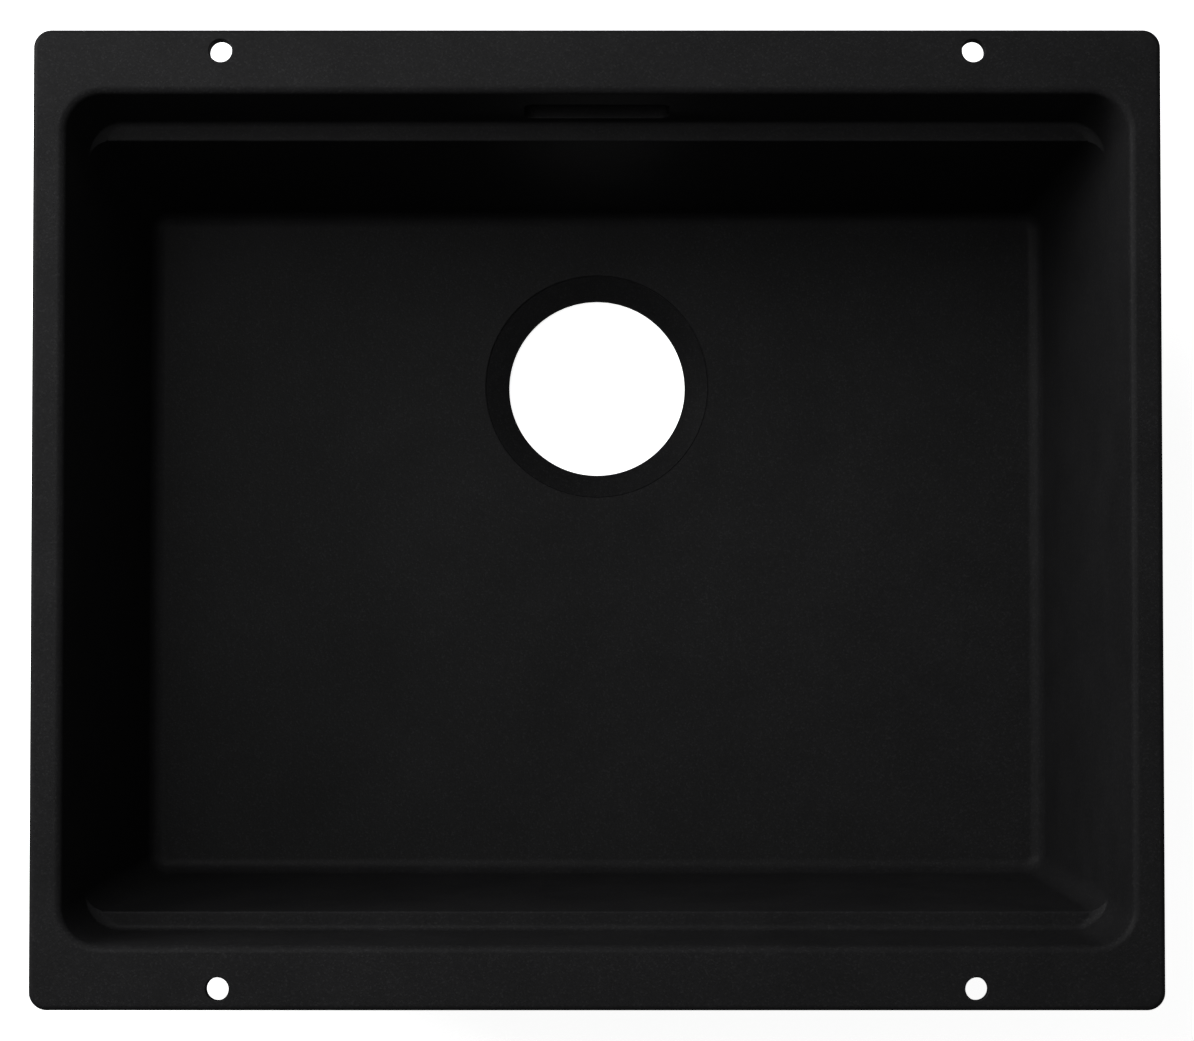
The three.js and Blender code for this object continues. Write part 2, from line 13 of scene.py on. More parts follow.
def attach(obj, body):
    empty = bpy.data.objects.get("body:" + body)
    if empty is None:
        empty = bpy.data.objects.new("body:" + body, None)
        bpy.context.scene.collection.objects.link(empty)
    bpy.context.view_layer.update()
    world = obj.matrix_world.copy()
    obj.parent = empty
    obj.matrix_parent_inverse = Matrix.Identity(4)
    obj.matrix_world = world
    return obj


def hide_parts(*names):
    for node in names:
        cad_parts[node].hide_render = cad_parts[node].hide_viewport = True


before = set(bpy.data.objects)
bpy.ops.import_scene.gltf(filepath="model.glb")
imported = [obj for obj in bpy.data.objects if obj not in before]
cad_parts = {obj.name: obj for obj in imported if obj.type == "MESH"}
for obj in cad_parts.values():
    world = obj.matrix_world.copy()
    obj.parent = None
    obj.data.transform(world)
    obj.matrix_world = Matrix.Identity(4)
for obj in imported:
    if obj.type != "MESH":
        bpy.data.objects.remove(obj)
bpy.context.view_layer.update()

MM = 0.001
TURN = 2 * math.pi

# ----- the casting, in millimetres -----

FLANGE_X = 530
FLANGE_Y = 460
FLANGE_THICKNESS = 9
FLANGE_CORNER = 8.4
FLANGE_EDGE = 2.5
FLANGE_LOWER_EDGE = 1.0
HEIGHT = 205
BOWL_X = 500
BOWL_Y = 400
BOWL_DEPTH = 190
BOWL_CORNER = 17.5
RIM_RADIUS = 4
DRAFT_ANGLE = math.radians(7)
DRAFT = math.tan(DRAFT_ANGLE)
WALL = 8.5
LEDGE_DEPTH = 50
LEDGE_WIDTH = 9
LEDGE_FILLET = 3
LEDGE_END_X = 236.1
LEDGE_END_CORNER = 10.1
LEDGE_EDGE = 1
LEDGE_EDGE_SHARE = 0.8
LOWER_CORNER = 10
FLOOR_FILLET = 8
FLOOR_FALL = 1.5
FLOOR_CORNER = 2.2
OUTER_FLOOR_CORNER = 3
OUTER_STEP_BELOW = 6
OUTER_STEP_ABOVE = 8
OUTER_FLANGE_FILLET = 4
WASTE_Y = 80
WASTE_RADIUS = 45
SEAT_RADIUS = 57
WASTE_STEP = 1
WASTE_CONE = 7
WASTE_CREASE = 0.5
WASTE_GROOVE = 0.4
WASTE_CONE_SHARE = 0.96
WASTE_HOLE_EDGE = 0.8
BOSS_TOP_RADIUS = 69
BOSS_FOOT_RADIUS = 65
BOSS_FOOT_EDGE = 1
BOSS_FILLET = 2
PAD_X = 190
PAD_Y = 132
PAD_FOOT_RADIUS = 12
PAD_TOP_RADIUS = 15
PAD_EDGE = 1
PAD_FILLET = 1.5
FIXING_X = 177
FIXING_Y = 220
FIXING_RADIUS = 5.35
FIXING_EDGE = 0.6
SLOT_WIDTH = 69
SLOT_TOP = 20
SLOT_BOTTOM = 43
SLOT_CORNER = 5
SLOT_EDGE = 0.5
REAR_BOSS_WIDTH = 124
REAR_BOSS_Y = 208
REAR_BOSS_BOTTOM = 148
REAR_BOSS_CORNER = 6
REAR_BOSS_EDGE = 0.8
REAR_BOSS_ROOT_Y = 190.5
REAR_BOSS_ROOT_LEAN = 0.234
REAR_BOSS_ROOT_GROW = 9
REAR_BOSS_ROOT_CORNER = 15
SCREW_X = 52
SCREW_LOW = 158
SCREW_HIGH = 187
INSERT_RADIUS = 4
INSERT_LENGTH = 6
GAP = 0.3

FLOOR_Z = HEIGHT - BOWL_DEPTH
UNDER_Z = FLOOR_Z - WALL
LEDGE_Z = HEIGHT - LEDGE_DEPTH
OUTER_STEP_Z = LEDGE_Z - WALL
FLANGE_BOTTOM = HEIGHT - FLANGE_THICKNESS
REAR_BOSS_TOP = FLANGE_BOTTOM + 5

# ----- the overflow fitting, in millimetres -----

GASKET_Y = REAR_BOSS_Y + GAP
GASKET_THICKNESS = 2
PLATE_Y = GASKET_Y + GASKET_THICKNESS + GAP
PLATE_THICKNESS = 3
PLATE_REAR = PLATE_Y + PLATE_THICKNESS
PLATE_X = 60
PLATE_LOW = 149.5
PLATE_HIGH = 194.5
PLATE_CORNER = 6
PLATE_EDGE = 0.5
WINDOW_X = 38
WINDOW_LOW = 157.5
WINDOW_HIGH = 188
WINDOW_CORNER = 4
HOUSING_REAR = 228.4
HOUSING_FRONT = 213.1
HOUSING_CORNER = 4.5
HOUSING_EDGE = 1.8
CHAMBER_FRONT = 215.6
CHAMBER_REAR = 226.4
CHAMBER_WALL = 2.5
CHAMBER_CORNER = 3
CHAMBER_X = WINDOW_X + CHAMBER_WALL
CHAMBER_TOP = WINDOW_HIGH + CHAMBER_WALL
CHAMBER_LOW = 159.5
FUNNEL_X = 22
FUNNEL_LOW = 147
FUNNEL_END = CHAMBER_LOW + 3
GUSSET_TALL = 8
GUSSET_FROM_SCREW = 10.5
PANEL_PLACES = (-24, 0, 24)
PANEL_X = 10.5
PANEL_CORNER = 2

PIPE_Y = 211
SPIGOT_TOP = 133
SPIGOT_END = 112
SPIGOT_RADIUS = 12.5
SPIGOT_BORE = 10
THREAD_PITCH = 3
THREAD_DEPTH = 0.8
SEAL_LOW = 109.7
SEAL_THICKNESS = 2
COLLAR_RADIUS = 12.9
COLLAR_LOW = 106.2
COLLAR_HIGH = 109.4
ELBOW_RADIUS = 11
ELBOW_BORE = 9
BEND_RADIUS = 14
BEND_TOP = 90
TAIL_Z = BEND_TOP - BEND_RADIUS
TAIL_THREAD_START = 18
TAIL_END = 36
TAIL_RADIUS = 12
TAIL_STOP = ((1.4, 11.6), (1.7, 11.9), (2.9, 11.9), (3.2, 11.6), (3.4, 11.2))
MOULD_SEAM = 0.16
MOUTH_RADIUS = 10.4
MOUTH_DEPTH = 4
RING_THICKNESS = 1
UNION_RING_LOW = 104.9
UNION_RING_BORE = 11.4
UNION_NUT_LOW = 101.6
UNION_NUT_HEIGHT = 19.4
UNION_NUT_RADIUS = 17
UNION_NUT_BORE = 13.3
HOSE_SEAL_X = 36.3
HOSE_SEAL_BORE = 8
HOSE_SEAL_RADIUS = 12
HOSE_SEAL_FLANGE = 3
HOSE_RING_X = 39.6
HOSE_NUT_END = 43.9
HOSE_NUT_HEIGHT = 18.9
HOSE_NUT_RADIUS = 16
HOSE_NUT_BORE = 12.8
HOSE_NUT_LIP_BORE = 8.8
NUT_LIP = 3
NUT_THREAD_DEPTH = 0.55
NUT_RIBS = 12
NUT_RIB_DEPTH = 0.9
NUT_RIB_START = math.radians(3.75)

SCREW_RADIUS = 2.5
SCREW_LENGTH = 12
SCREW_PITCH = 0.8
SCREW_THREAD_DEPTH = 0.4
SCREW_CLEARANCE = 2.8
HEAD_RADIUS = 4.75
HEAD_HEIGHT = 3
SOCKET_RADIUS = 1.7
SOCKET_DEPTH = 1.6
WASHER_RADIUS = 5
WASHER_THICKNESS = 1
KNURLS = 26
KNURL_SLANT = 1.6
KNURL_DEPTH = 0.14

# ----- camera: straight above, a little in front of the middle -----

CAMERA_PLACE = (0.0, -0.1414, 2.2866)
CAMERA_TILT = math.radians(2.5)
CAMERA_LENS = 134.4
CAMERA_SHIFT_Y = 0.0879
CAMERA_REACH = 200

# ----- light and ground: metres and watts -----

LAMPS = (  # name, place, side, power
    ("overhead", (-0.35, 0.25, 1.35), 0.6, 5.1),
    ("rear", (-0.3, 0.8, 1.2), 0.6, 5.0),
    ("key", (-0.95, 0.6, 1.15), 0.4, 7.0),
    ("left", (-1.3, 0.5, 0.65), 0.6, 17.0),
)
LAMP_TARGET = (0, 0, 0.15)
FILL_LIGHT = 0.08
GROUND_HALF = 30
WHITE = (1, 1, 1, 1)
GROUND_COLOUR = (0.82, 0.82, 0.82, 1)
GROUND_SEEN = 0.92
GROUND_MIRRORED = 0.2

# ----- how finely the meshes are divided -----

SHARP_ANGLE = math.radians(35)
FLAT_FACE_WEIGHT = 80
MERGE_DISTANCE = 1e-7
TINY = 1e-9
SECTION_STEPS = 3
UPRIGHT_STEPS = 8
PLAN_STEPS = 16
CORNER_STEPS = 16
SHORT_STEPS = 36
LONG_STEPS = 38
LONG_START = 0.04
NEAR_CORNER = (0.003, 0.006, 0.009, 0.012, 0.017, 0.026)
LONG_SHARES = (
    *NEAR_CORNER,
    *(LONG_START + (1 - 2 * LONG_START) * i / LONG_STEPS for i in range(LONG_STEPS + 1)),
    *(1 - share for share in reversed(NEAR_CORNER)),
)
SHORT_SHARES = tuple(i / SHORT_STEPS for i in range(1, SHORT_STEPS))
CONE_STEPS = 6
SPIGOT_LEVELS = 68
TAIL_LEVELS = 60
SCREW_LEVELS = 90
EASING_SAMPLES = 7


# ----- mesh tools -----

def add_object(name, data):
    obj = bpy.data.objects.new(name, data)
    bpy.context.scene.collection.objects.link(obj)
    return obj


def new_object(name, points, faces):
    """A mesh from points in millimetres, with its faces turned outwards."""
    mesh = bpy.data.meshes.new(name)
    mesh.from_pydata([Vector(p) * MM for p in points], [], faces)
    work = bmesh.new()
    work.from_mesh(mesh)
    bmesh.ops.remove_doubles(work, verts=work.verts, dist=MERGE_DISTANCE)
    bmesh.ops.recalc_face_normals(work, faces=work.faces)
    work.to_mesh(mesh)
    work.free()
    return shade(add_object(name, mesh))


def shade(obj):
    """Smooth shading, broken where two faces meet at more than SHARP_ANGLE."""
    obj.data.shade_smooth()
    obj.data.set_sharp_from_angle(angle=SHARP_ANGLE)
    return obj


def weigh_normals(obj):
    """Large flat faces keep their own direction next to small rounded edges."""
    modifier = obj.modifiers.new("weighted_normals", "WEIGHTED_NORMAL")
    modifier.keep_sharp = True
    modifier.weight = FLAT_FACE_WEIGHT


def combine(obj, others, operation):
    """Joins the others to obj, or cuts them from it, and removes them."""
    for other in others:
        modifier = obj.modifiers.new("combine", "BOOLEAN")
        modifier.operation = operation
        modifier.solver = "EXACT"
        modifier.object = other
        graph = bpy.context.evaluated_depsgraph_get()
        mesh = bpy.data.meshes.new_from_object(obj.evaluated_get(graph))
        obj.modifiers.clear()
        obj.data = mesh
        bpy.data.objects.remove(other)
    return shade(obj)


def around(centre, radius, angle):
    return centre[0] + radius * math.cos(angle), centre[1] + radius * math.sin(angle)


def arc(centre, radius, start, end, steps):
    """Points on an arc in a section plane; start and end in degrees."""
    angles = [math.radians(start + (end - start) * i / steps) for i in range(steps + 1)]
    return [around(centre, radius, angle) for angle in angles]


def rounded(corners):
    """A closed section through corners (a, b, radius); a rounding takes under half of the side next to it."""
    points = []
    for i, (a, b, radius) in enumerate(corners):
        corner = Vector((a, b))
        before = Vector(corners[i - 1][:2]) - corner
        after = Vector(corners[(i + 1) % len(corners)][:2]) - corner
        before_dir = before.normalized()
        after_dir = after.normalized()
        half = before_dir.angle(after_dir) / 2
        reach = min(radius / math.tan(half), before.length * 0.49, after.length * 0.49)
        start = corner + before_dir * reach
        end = corner + after_dir * reach
        for step in range(SECTION_STEPS + 1):
            t = step / SECTION_STEPS
            p = start * (1 - t) ** 2 + corner * 2 * t * (1 - t) + end * t ** 2
            points.append((p.x, p.y))
    return points


def stack(name, rings, closed=False):
    """A mesh through rings of equal length; closed joins the last ring to the first, else both are capped."""
    count = len(rings[0])
    points = [p for ring in rings for p in ring]
    faces = []
    levels = len(rings) if closed else len(rings) - 1
    for level in range(levels):
        here = level * count
        there = (level + 1) % len(rings) * count
        for i in range(count):
            j = (i + 1) % count
            faces.append((here + i, here + j, there + j, there + i))
    if not closed:
        faces.append(tuple(range(count))[::-1])
        faces.append(tuple(range((len(rings) - 1) * count, len(rings) * count)))
    return new_object(name, points, faces)


def turned(radius, z, angle, radius_at, place=(0, 0)):
    """A point turned about an upright axis; radius_at(radius, z, angle) may shift it."""
    return (*around(place, radius_at(radius, z, angle) if radius_at else radius, angle), z)


def lathe(name, section, steps, radius_at=None):
    """A ring turned about +Z from a closed section of (radius, z)."""
    angles = [TURN * i / steps for i in range(steps)]
    rings = [[turned(radius, z, angle, radius_at) for radius, z in section] for angle in angles]
    return stack(name, rings, closed=True)


def spun(name, profile, steps, place=(0, 0), radius_at=None):
    """A solid turned about an upright axis from an open profile of (radius, z), its lowest point first."""
    angles = [TURN * i / steps for i in range(steps)]
    rings = [[turned(radius, z, angle, radius_at, place) for angle in angles] for radius, z in profile]
    return stack(name, rings)


def move_mesh(obj, matrix):
    """Moves the mesh and leaves the object's origin where it is."""
    obj.data.transform(matrix)
    obj.data.update()
    return obj


def smooth_step(t):
    return t * t * (3 - 2 * t)


# ----- rings of the casting -----

QUARTERS = ((1, 1), (-1, 1), (-1, -1), (1, -1))
SIDES = [(x, y) for x in (-1, 1) for y in (-1, 1)]


def ring_of(base_x, base_y, place_at):
    """A ring that runs anticlockwise, seen from above.

    Its corner points lie on rays from (base_x, base_y) and its mirror images, the others on lines square to
    the sides. place_at(start, direction) gives how far a ray runs in the first quarter, and its level."""
    points = []

    def add(sign_x, sign_y, start, direction):
        reach, z = place_at(start, direction)
        x, y = (start[i] + direction[i] * reach for i in (0, 1))
        points.append((sign_x * x, sign_y * y, z))

    for quarter, (sign_x, sign_y) in enumerate(QUARTERS):
        for step in range(CORNER_STEPS + 1):
            angle = (quarter + step / CORNER_STEPS) * math.pi / 2
            add(sign_x, sign_y, (base_x, base_y), (abs(math.cos(angle)), abs(math.sin(angle))))
        if quarter % 2 == 0:
            for share in LONG_SHARES:
                x = sign_x * base_x * (1 - 2 * share)
                add(math.copysign(1, x), sign_y, (abs(x), 0), (0, 1))
        else:
            for share in SHORT_SHARES:
                y = sign_y * base_y * (1 - 2 * share)
                add(sign_x, math.copysign(1, y), (0, abs(y)), (1, 0))
    return points


def reach_to(start, direction, half_x, half_y, radius):
    """How far a ray in the first quarter runs from the start to a rounded rectangle's outline."""
    across, along = direction
    if across > TINY:
        run = (half_x - start[0]) / across
        if start[1] + along * run <= half_y - radius:
            return run
    if along > TINY:
        run = (half_y - start[1]) / along
        if start[0] + across * run <= half_x - radius:
            return run
    centre = (half_x - radius - start[0], half_y - radius - start[1])
    middle = across * centre[0] + along * centre[1]
    return middle + math.sqrt(max(middle ** 2 - centre[0] ** 2 - centre[1] ** 2 + radius ** 2, 0))


def level_ring(half_x, half_y, radius, z):
    """A rounded rectangle with evenly divided corners."""
    return ring_of(half_x - radius, half_y - radius, lambda *ray: (reach_to(*ray, half_x, half_y, radius), z))


def waste_ring(radius, z, guide):
    """A round ring about the waste's axis, each point in the direction of the guide ring's point."""
    return [(*around((0, WASTE_Y), radius, math.atan2(y - WASTE_Y, x)), z) for x, y, _ in guide]


def between(ring_a, ring_b, steps, sideways=lambda t: t):
    """The rings between two rings, ends left out; sideways may ease their way in x and y."""
    rings = []
    for step in range(1, steps):
        t = step / steps
        shares = (sideways(t), sideways(t), t)
        rings.append([tuple(a + (b - a) * share for a, b, share in zip(p, q, shares))
                      for p, q in zip(ring_a, ring_b)])
    return rings


def upper_half(z):
    inset = (HEIGHT - z) * DRAFT
    return BOWL_X / 2 - inset, BOWL_Y / 2 - inset


def lower_half(z):
    half_x, half_y = upper_half(z)
    return half_x, half_y - LEDGE_WIDTH


def bowl_ring(z, place_at):
    """A ring inside the bowl, on rays from the axes of the lower corners."""
    half_x, half_y = lower_half(z)
    return ring_of(half_x - LOWER_CORNER, half_y - LOWER_CORNER, place_at)


def bowl_level(half_x, half_y, radius, z):
    return bowl_ring(z, lambda *ray: (reach_to(*ray, half_x, half_y, radius), z))


WALL_TURN = 90 - math.degrees(DRAFT_ANGLE)


def concave(radius, steps):
    """(out, up) from a level floor round into a drafted wall, measured from the wall's foot."""
    centre = radius * DRAFT - radius / math.cos(DRAFT_ANGLE)
    return [(centre + a, radius + b) for a, b in arc((0, 0), radius, -90, -90 + WALL_TURN, steps)]


def convex(radius, steps):
    """(out, up) from a drafted wall round into a level face above it, measured from the wall."""
    centre = radius / math.cos(DRAFT_ANGLE)
    return [(centre + a, b) for a, b in arc((0, 0), radius, 90 + WALL_TURN, 90, steps)]


def flange_edge_rings(edge, centre_z, start, end, steps):
    """Round one edge of the flange's side, from one angle of its arc to the other."""
    rings = []
    for a, b in arc((0, 0), edge, start, end, steps):
        inset = edge - a
        rings.append(level_ring(FLANGE_X / 2 - inset, FLANGE_Y / 2 - inset, FLANGE_CORNER - inset,
                                centre_z + b))
    return rings


def flange_top_rings():
    """From the lower edge of the flange's side, up and over its top to the start of the rim."""
    lower = flange_edge_rings(FLANGE_LOWER_EDGE, FLANGE_BOTTOM + FLANGE_LOWER_EDGE, -90, 0, 3)
    return lower + flange_edge_rings(FLANGE_EDGE, HEIGHT - FLANGE_EDGE, 0, 90, 7)


def rim_rings():
    """Over the rolled rim and down the upper wall."""
    rim_z = HEIGHT - RIM_RADIUS
    half_x, half_y = upper_half(rim_z)
    return [bowl_level(half_x + out, half_y + out, BOWL_CORNER + out, rim_z + up)
            for out, up in reversed(convex(RIM_RADIUS, 8))]


def ledge_rings():
    """Round the fillet at the upper wall's foot, over the ledge and round its inner edge.

    The side walls have no ledge: there the lower wall runs on upwards, and the ledge ends in a point where it
    meets the lower corner. The fillet widens towards that end."""
    high_x, high_y = upper_half(LEDGE_Z)
    low_x, low_y = lower_half(LEDGE_Z)
    fillet = concave(LEDGE_FILLET, 6)
    foot_out = fillet[0][0]
    full_out = fillet[-1][0] - foot_out
    top_out = LEDGE_FILLET * DRAFT

    def fillet_reach(start, direction, out, up):
        foot = reach_to(start, direction, LEDGE_END_X, high_y + foot_out, LEDGE_END_CORNER)
        top = reach_to(start, direction, high_x + top_out, high_y + top_out, BOWL_CORNER)
        low = reach_to(start, direction, low_x + up * DRAFT, low_y + up * DRAFT, LOWER_CORNER)
        return max(foot + (top - foot) * (out - foot_out) / full_out, low)

    def edge_place(start, direction, out, up):
        low = reach_to(start, direction, low_x, low_y, LOWER_CORNER)
        width = fillet_reach(start, direction, foot_out, 0) - low
        edge = min(LEDGE_EDGE, LEDGE_EDGE_SHARE * width)
        grow = edge * (out - DRAFT)
        reach = reach_to(start, direction, low_x + grow, low_y + grow, LOWER_CORNER + grow)
        return reach, LEDGE_Z - edge + edge * up

    rings = [bowl_ring(LEDGE_Z + up, lambda *ray: (fillet_reach(*ray, out, up), LEDGE_Z + up))
             for out, up in reversed(fillet)]
    inner = [bowl_ring(LEDGE_Z, lambda *ray: edge_place(*ray, out, up)) for out, up in reversed(convex(1, 4))]
    return rings + between(rings[-1], inner[0], 5) + inner


def floor_rings():
    """Round the fillet at the foot of the lower wall."""
    rings = []
    foot_z = FLOOR_Z + FLOOR_FALL
    half_x, half_y = lower_half(foot_z)
    for out, up in reversed(concave(FLOOR_FILLET, 10)):
        radius = max(LOWER_CORNER + out - up * DRAFT, FLOOR_CORNER)
        rings.append(bowl_level(half_x + out, half_y + out, radius, foot_z + up))
    return rings


def waste_section():
    """(radius, z) from the floor over the dished seat, down the hole and out over the boss's foot."""
    seat_z = FLOOR_Z - WASTE_STEP
    groove_z = seat_z - WASTE_GROOVE
    section = [(SEAT_RADIUS + out, z) for out, z in (
        (1.2, FLOOR_Z), (0.2, FLOOR_Z), (0.12, FLOOR_Z - 0.08), (0.05, groove_z), (-0.3, groove_z))]
    start = SEAT_RADIUS - WASTE_CREASE
    run = start - WASTE_RADIUS
    for step in range(CONE_STEPS + 1):
        t = WASTE_CONE_SHARE * step / CONE_STEPS
        section.append((start - run * t, seat_z - WASTE_CONE * t))
    cone_z = seat_z - WASTE_CONE
    section += [(WASTE_RADIUS + 0.12, cone_z + 0.05), (WASTE_RADIUS, cone_z - 0.3)]
    section += [(WASTE_RADIUS, cone_z - 2.5)]
    section += arc((WASTE_RADIUS + WASTE_HOLE_EDGE, WASTE_HOLE_EDGE), WASTE_HOLE_EDGE, 180, 270, 3)
    section += [(BOSS_FOOT_RADIUS - BOSS_FOOT_EDGE - 0.5, 0)]
    section += arc((BOSS_FOOT_RADIUS - BOSS_FOOT_EDGE, BOSS_FOOT_EDGE), BOSS_FOOT_EDGE, 270, 350, 4)
    section += arc((BOSS_TOP_RADIUS + BOSS_FILLET, UNDER_Z - BOSS_FILLET), BOSS_FILLET, 180, 90, 4)
    return section


def outer_ring(half, corner, z, out=0):
    """A level ring of the outside, from the half sizes of the inside at one level."""
    return level_ring(half[0] + WALL + out, half[1] + WALL + out, corner, z)


def outside_rings():
    """From the underside of the floor, round its edge and up the outside to the flange's underside."""
    rings = []
    for out, up in concave(FLOOR_FILLET + WALL, 10):
        corner = max(LOWER_CORNER + WALL + out - up * DRAFT, OUTER_FLOOR_CORNER)
        rings.append(outer_ring(lower_half(UNDER_Z), corner, UNDER_Z + up, out))
    low_z = OUTER_STEP_Z - OUTER_STEP_BELOW
    high_z = OUTER_STEP_Z + OUTER_STEP_ABOVE
    low = outer_ring(lower_half(low_z), LOWER_CORNER + WALL, low_z)
    high = outer_ring(upper_half(high_z), BOWL_CORNER + WALL, high_z)
    rings += between(rings[-1], low, 8) + [low] + between(low, high, 8, smooth_step) + [high]
    fillet = OUTER_FLANGE_FILLET
    join_z = FLANGE_BOTTOM - fillet
    top_half = upper_half(join_z)
    rings += between(high, outer_ring(top_half, BOWL_CORNER + WALL, join_z), 5)
    for a, b in arc((fillet, 0), fillet, 180, 90, 5):
        rings.append(outer_ring(top_half, BOWL_CORNER + WALL + a, join_z + b, a))
    return rings


def casting_rings():
    """Every ring of the casting, with the number of steps that lead from each group to the next."""
    floor = floor_rings()
    waste = [waste_ring(radius, z, floor[-1]) for radius, z in waste_section()]
    groups = ((flange_top_rings(), 4), (rim_rings(), 6), (ledge_rings(), 10), (floor, 10), (waste, 8),
              (outside_rings(), 3))
    rings = []
    for i, (group, steps) in enumerate(groups):
        following = groups[(i + 1) % len(groups)][0]
        rings += group + between(group[-1], following[0], steps)
    return rings


def rounded_rectangle(half_a, low_b, high_b, radius, steps):
    """Points (a, b) of a rounded rectangle from -half_a to half_a and from low_b to high_b."""
    points = []
    middle = (low_b + high_b) / 2
    half_b = (high_b - low_b) / 2
    for quarter, (sign_a, sign_b) in enumerate(QUARTERS):
        centre = (sign_a * (half_a - radius), middle + sign_b * (half_b - radius))
        for step in range(steps + 1):
            points.append(around(centre, radius, (quarter + step / steps) * math.pi / 2))
    return points


def upright_ring(half_x, low, high, radius, y):
    return [(x, y, z) for x, z in rounded_rectangle(half_x, low, high, radius, UPRIGHT_STEPS)]


def plan_ring(half_x, low_y, high_y, radius, z):
    return [(x, y, z) for x, y in rounded_rectangle(half_x, low_y, high_y, radius, PLAN_STEPS)]


def outer_wall_y(z):
    """Where the rear wall's outside stands at one height."""
    low = lower_half(z)[1] + WALL
    high = upper_half(z)[1] + WALL
    t = (z - OUTER_STEP_Z + OUTER_STEP_BELOW) / (OUTER_STEP_BELOW + OUTER_STEP_ABOVE)
    return low + (high - low) * smooth_step(min(max(t, 0), 1))


def overflow_boss():
    """The flat boss behind the slot, flared where it grows out of the wall."""
    half_x = REAR_BOSS_WIDTH / 2
    grow = REAR_BOSS_ROOT_GROW
    low = REAR_BOSS_BOTTOM - grow
    rings = [[
        (x, REAR_BOSS_ROOT_Y + (z - low) * REAR_BOSS_ROOT_LEAN, z)
        for x, _, z in upright_ring(half_x + grow, low, REAR_BOSS_TOP, REAR_BOSS_ROOT_CORNER, 0)
    ]]
    edge_y = REAR_BOSS_Y - REAR_BOSS_EDGE
    for share, grow in ((-0.1, 8), (0.05, 5), (0.2, 3), (0.38, 1.6), (0.6, 0.6), (0.8, 0.1)):
        ring = []
        for x, _, z in upright_ring(half_x + grow, REAR_BOSS_BOTTOM - grow, REAR_BOSS_TOP,
                                    REAR_BOSS_CORNER + grow, 0):
            wall_y = outer_wall_y(z)
            ring.append((x, wall_y + (edge_y - wall_y) * share, z))
        rings.append(ring)
    for a, b in arc((0, 0), REAR_BOSS_EDGE, 0, 90, 3):
        inset = REAR_BOSS_EDGE - a
        rings.append(upright_ring(half_x - inset, REAR_BOSS_BOTTOM + inset, REAR_BOSS_TOP,
                                  REAR_BOSS_CORNER - inset, edge_y + b))
    return stack("overflow_boss", rings)


def standing_pad(x, y):
    top = PAD_TOP_RADIUS + PAD_FILLET
    profile = [(PAD_FOOT_RADIUS - PAD_EDGE - 0.2, 0)]
    profile += arc((PAD_FOOT_RADIUS - PAD_EDGE, PAD_EDGE), PAD_EDGE, -80, -10, 3)
    profile += arc((top, UNDER_Z - PAD_FILLET), PAD_FILLET, 180, 95, 4)
    profile += [(top, UNDER_Z + 3)]
    return spun("standing_pad", profile, 40, (x, y))


def slot_cutter():
    """The overflow slot, flared where it meets the drafted wall so that its edge is rounded."""
    low = HEIGHT - SLOT_BOTTOM
    high = HEIGHT - SLOT_TOP
    through = REAR_BOSS_Y - BOWL_Y / 2
    edge = SLOT_EDGE
    profile = [(-12, edge + 1.5), (-0.02, edge)]
    for degrees in (20, 40, 60, 80):
        a = math.radians(degrees)
        profile.append((edge - edge * math.cos(a), edge - edge * math.sin(a)))
    profile += [(edge + 0.5, 0), (through + 12, 0)]
    rings = []
    for depth, grow in profile:
        ring = []
        for x, _, z in upright_ring(SLOT_WIDTH / 2 + grow, low - grow, high + grow, SLOT_CORNER + grow, 0):
            wall_y = upper_half(z)[1] if depth < through else BOWL_Y / 2
            ring.append((x, wall_y + depth, z))
        rings.append(ring)
    return stack("slot_cutter", rings)


def fixing_cutter(x, y):
    edge = FIXING_EDGE
    profile = [(FIXING_RADIUS + 3, FLANGE_BOTTOM - 3)]
    profile += [(FIXING_RADIUS + 0.4, FLANGE_BOTTOM - 0.01), (FIXING_RADIUS, FLANGE_BOTTOM + 0.4)]
    profile += [(FIXING_RADIUS + edge + a, HEIGHT - edge + b) for a, b in arc((0, 0), edge, 180, 95, 4)]
    profile += [(FIXING_RADIUS + edge + 0.1, HEIGHT + 3)]
    return spun("fixing_cutter", profile, 48, (x, y))


SCREW_PLACES = [(side * SCREW_X, z) for z in (SCREW_LOW, SCREW_HIGH) for side in (-1, 1)]


def screw_holes(name, radius, from_y, to_y):
    """A pin along Y at each screw, to cut its hole with."""
    pins = []
    for x, z in SCREW_PLACES:
        pin = spun(name, [(radius, 0), (radius, to_y - from_y)], 32)
        place = Matrix.Translation(Vector((x, from_y, z)) * MM)
        pins.append(move_mesh(pin, place @ Matrix.Rotation(-math.pi / 2, 4, "X")))
    return pins


def make_bowl():
    bowl = stack("cast_bowl", casting_rings(), closed=True)
    pads = [standing_pad(sx * PAD_X, sy * PAD_Y) for sx, sy in SIDES]
    combine(bowl, pads + [overflow_boss()], "UNION")
    cutters = [slot_cutter()]
    cutters += [fixing_cutter(sx * FIXING_X, sy * FIXING_Y) for sx, sy in SIDES]
    deep_y = REAR_BOSS_Y - INSERT_LENGTH - 2 * GAP
    cutters += screw_holes("insert_hole", INSERT_RADIUS + GAP, deep_y, REAR_BOSS_Y + 2)
    combine(bowl, cutters, "DIFFERENCE")
    weigh_normals(bowl)
    return bowl


# ----- gasket and housing -----

def edged_plate(name, half_x, low, high, corner, levels):
    """An upright plate through levels of (y, inset)."""
    return stack(name, [upright_ring(half_x - inset, low + inset, high - inset, max(corner - inset, 0.2), y)
                        for y, inset in levels])


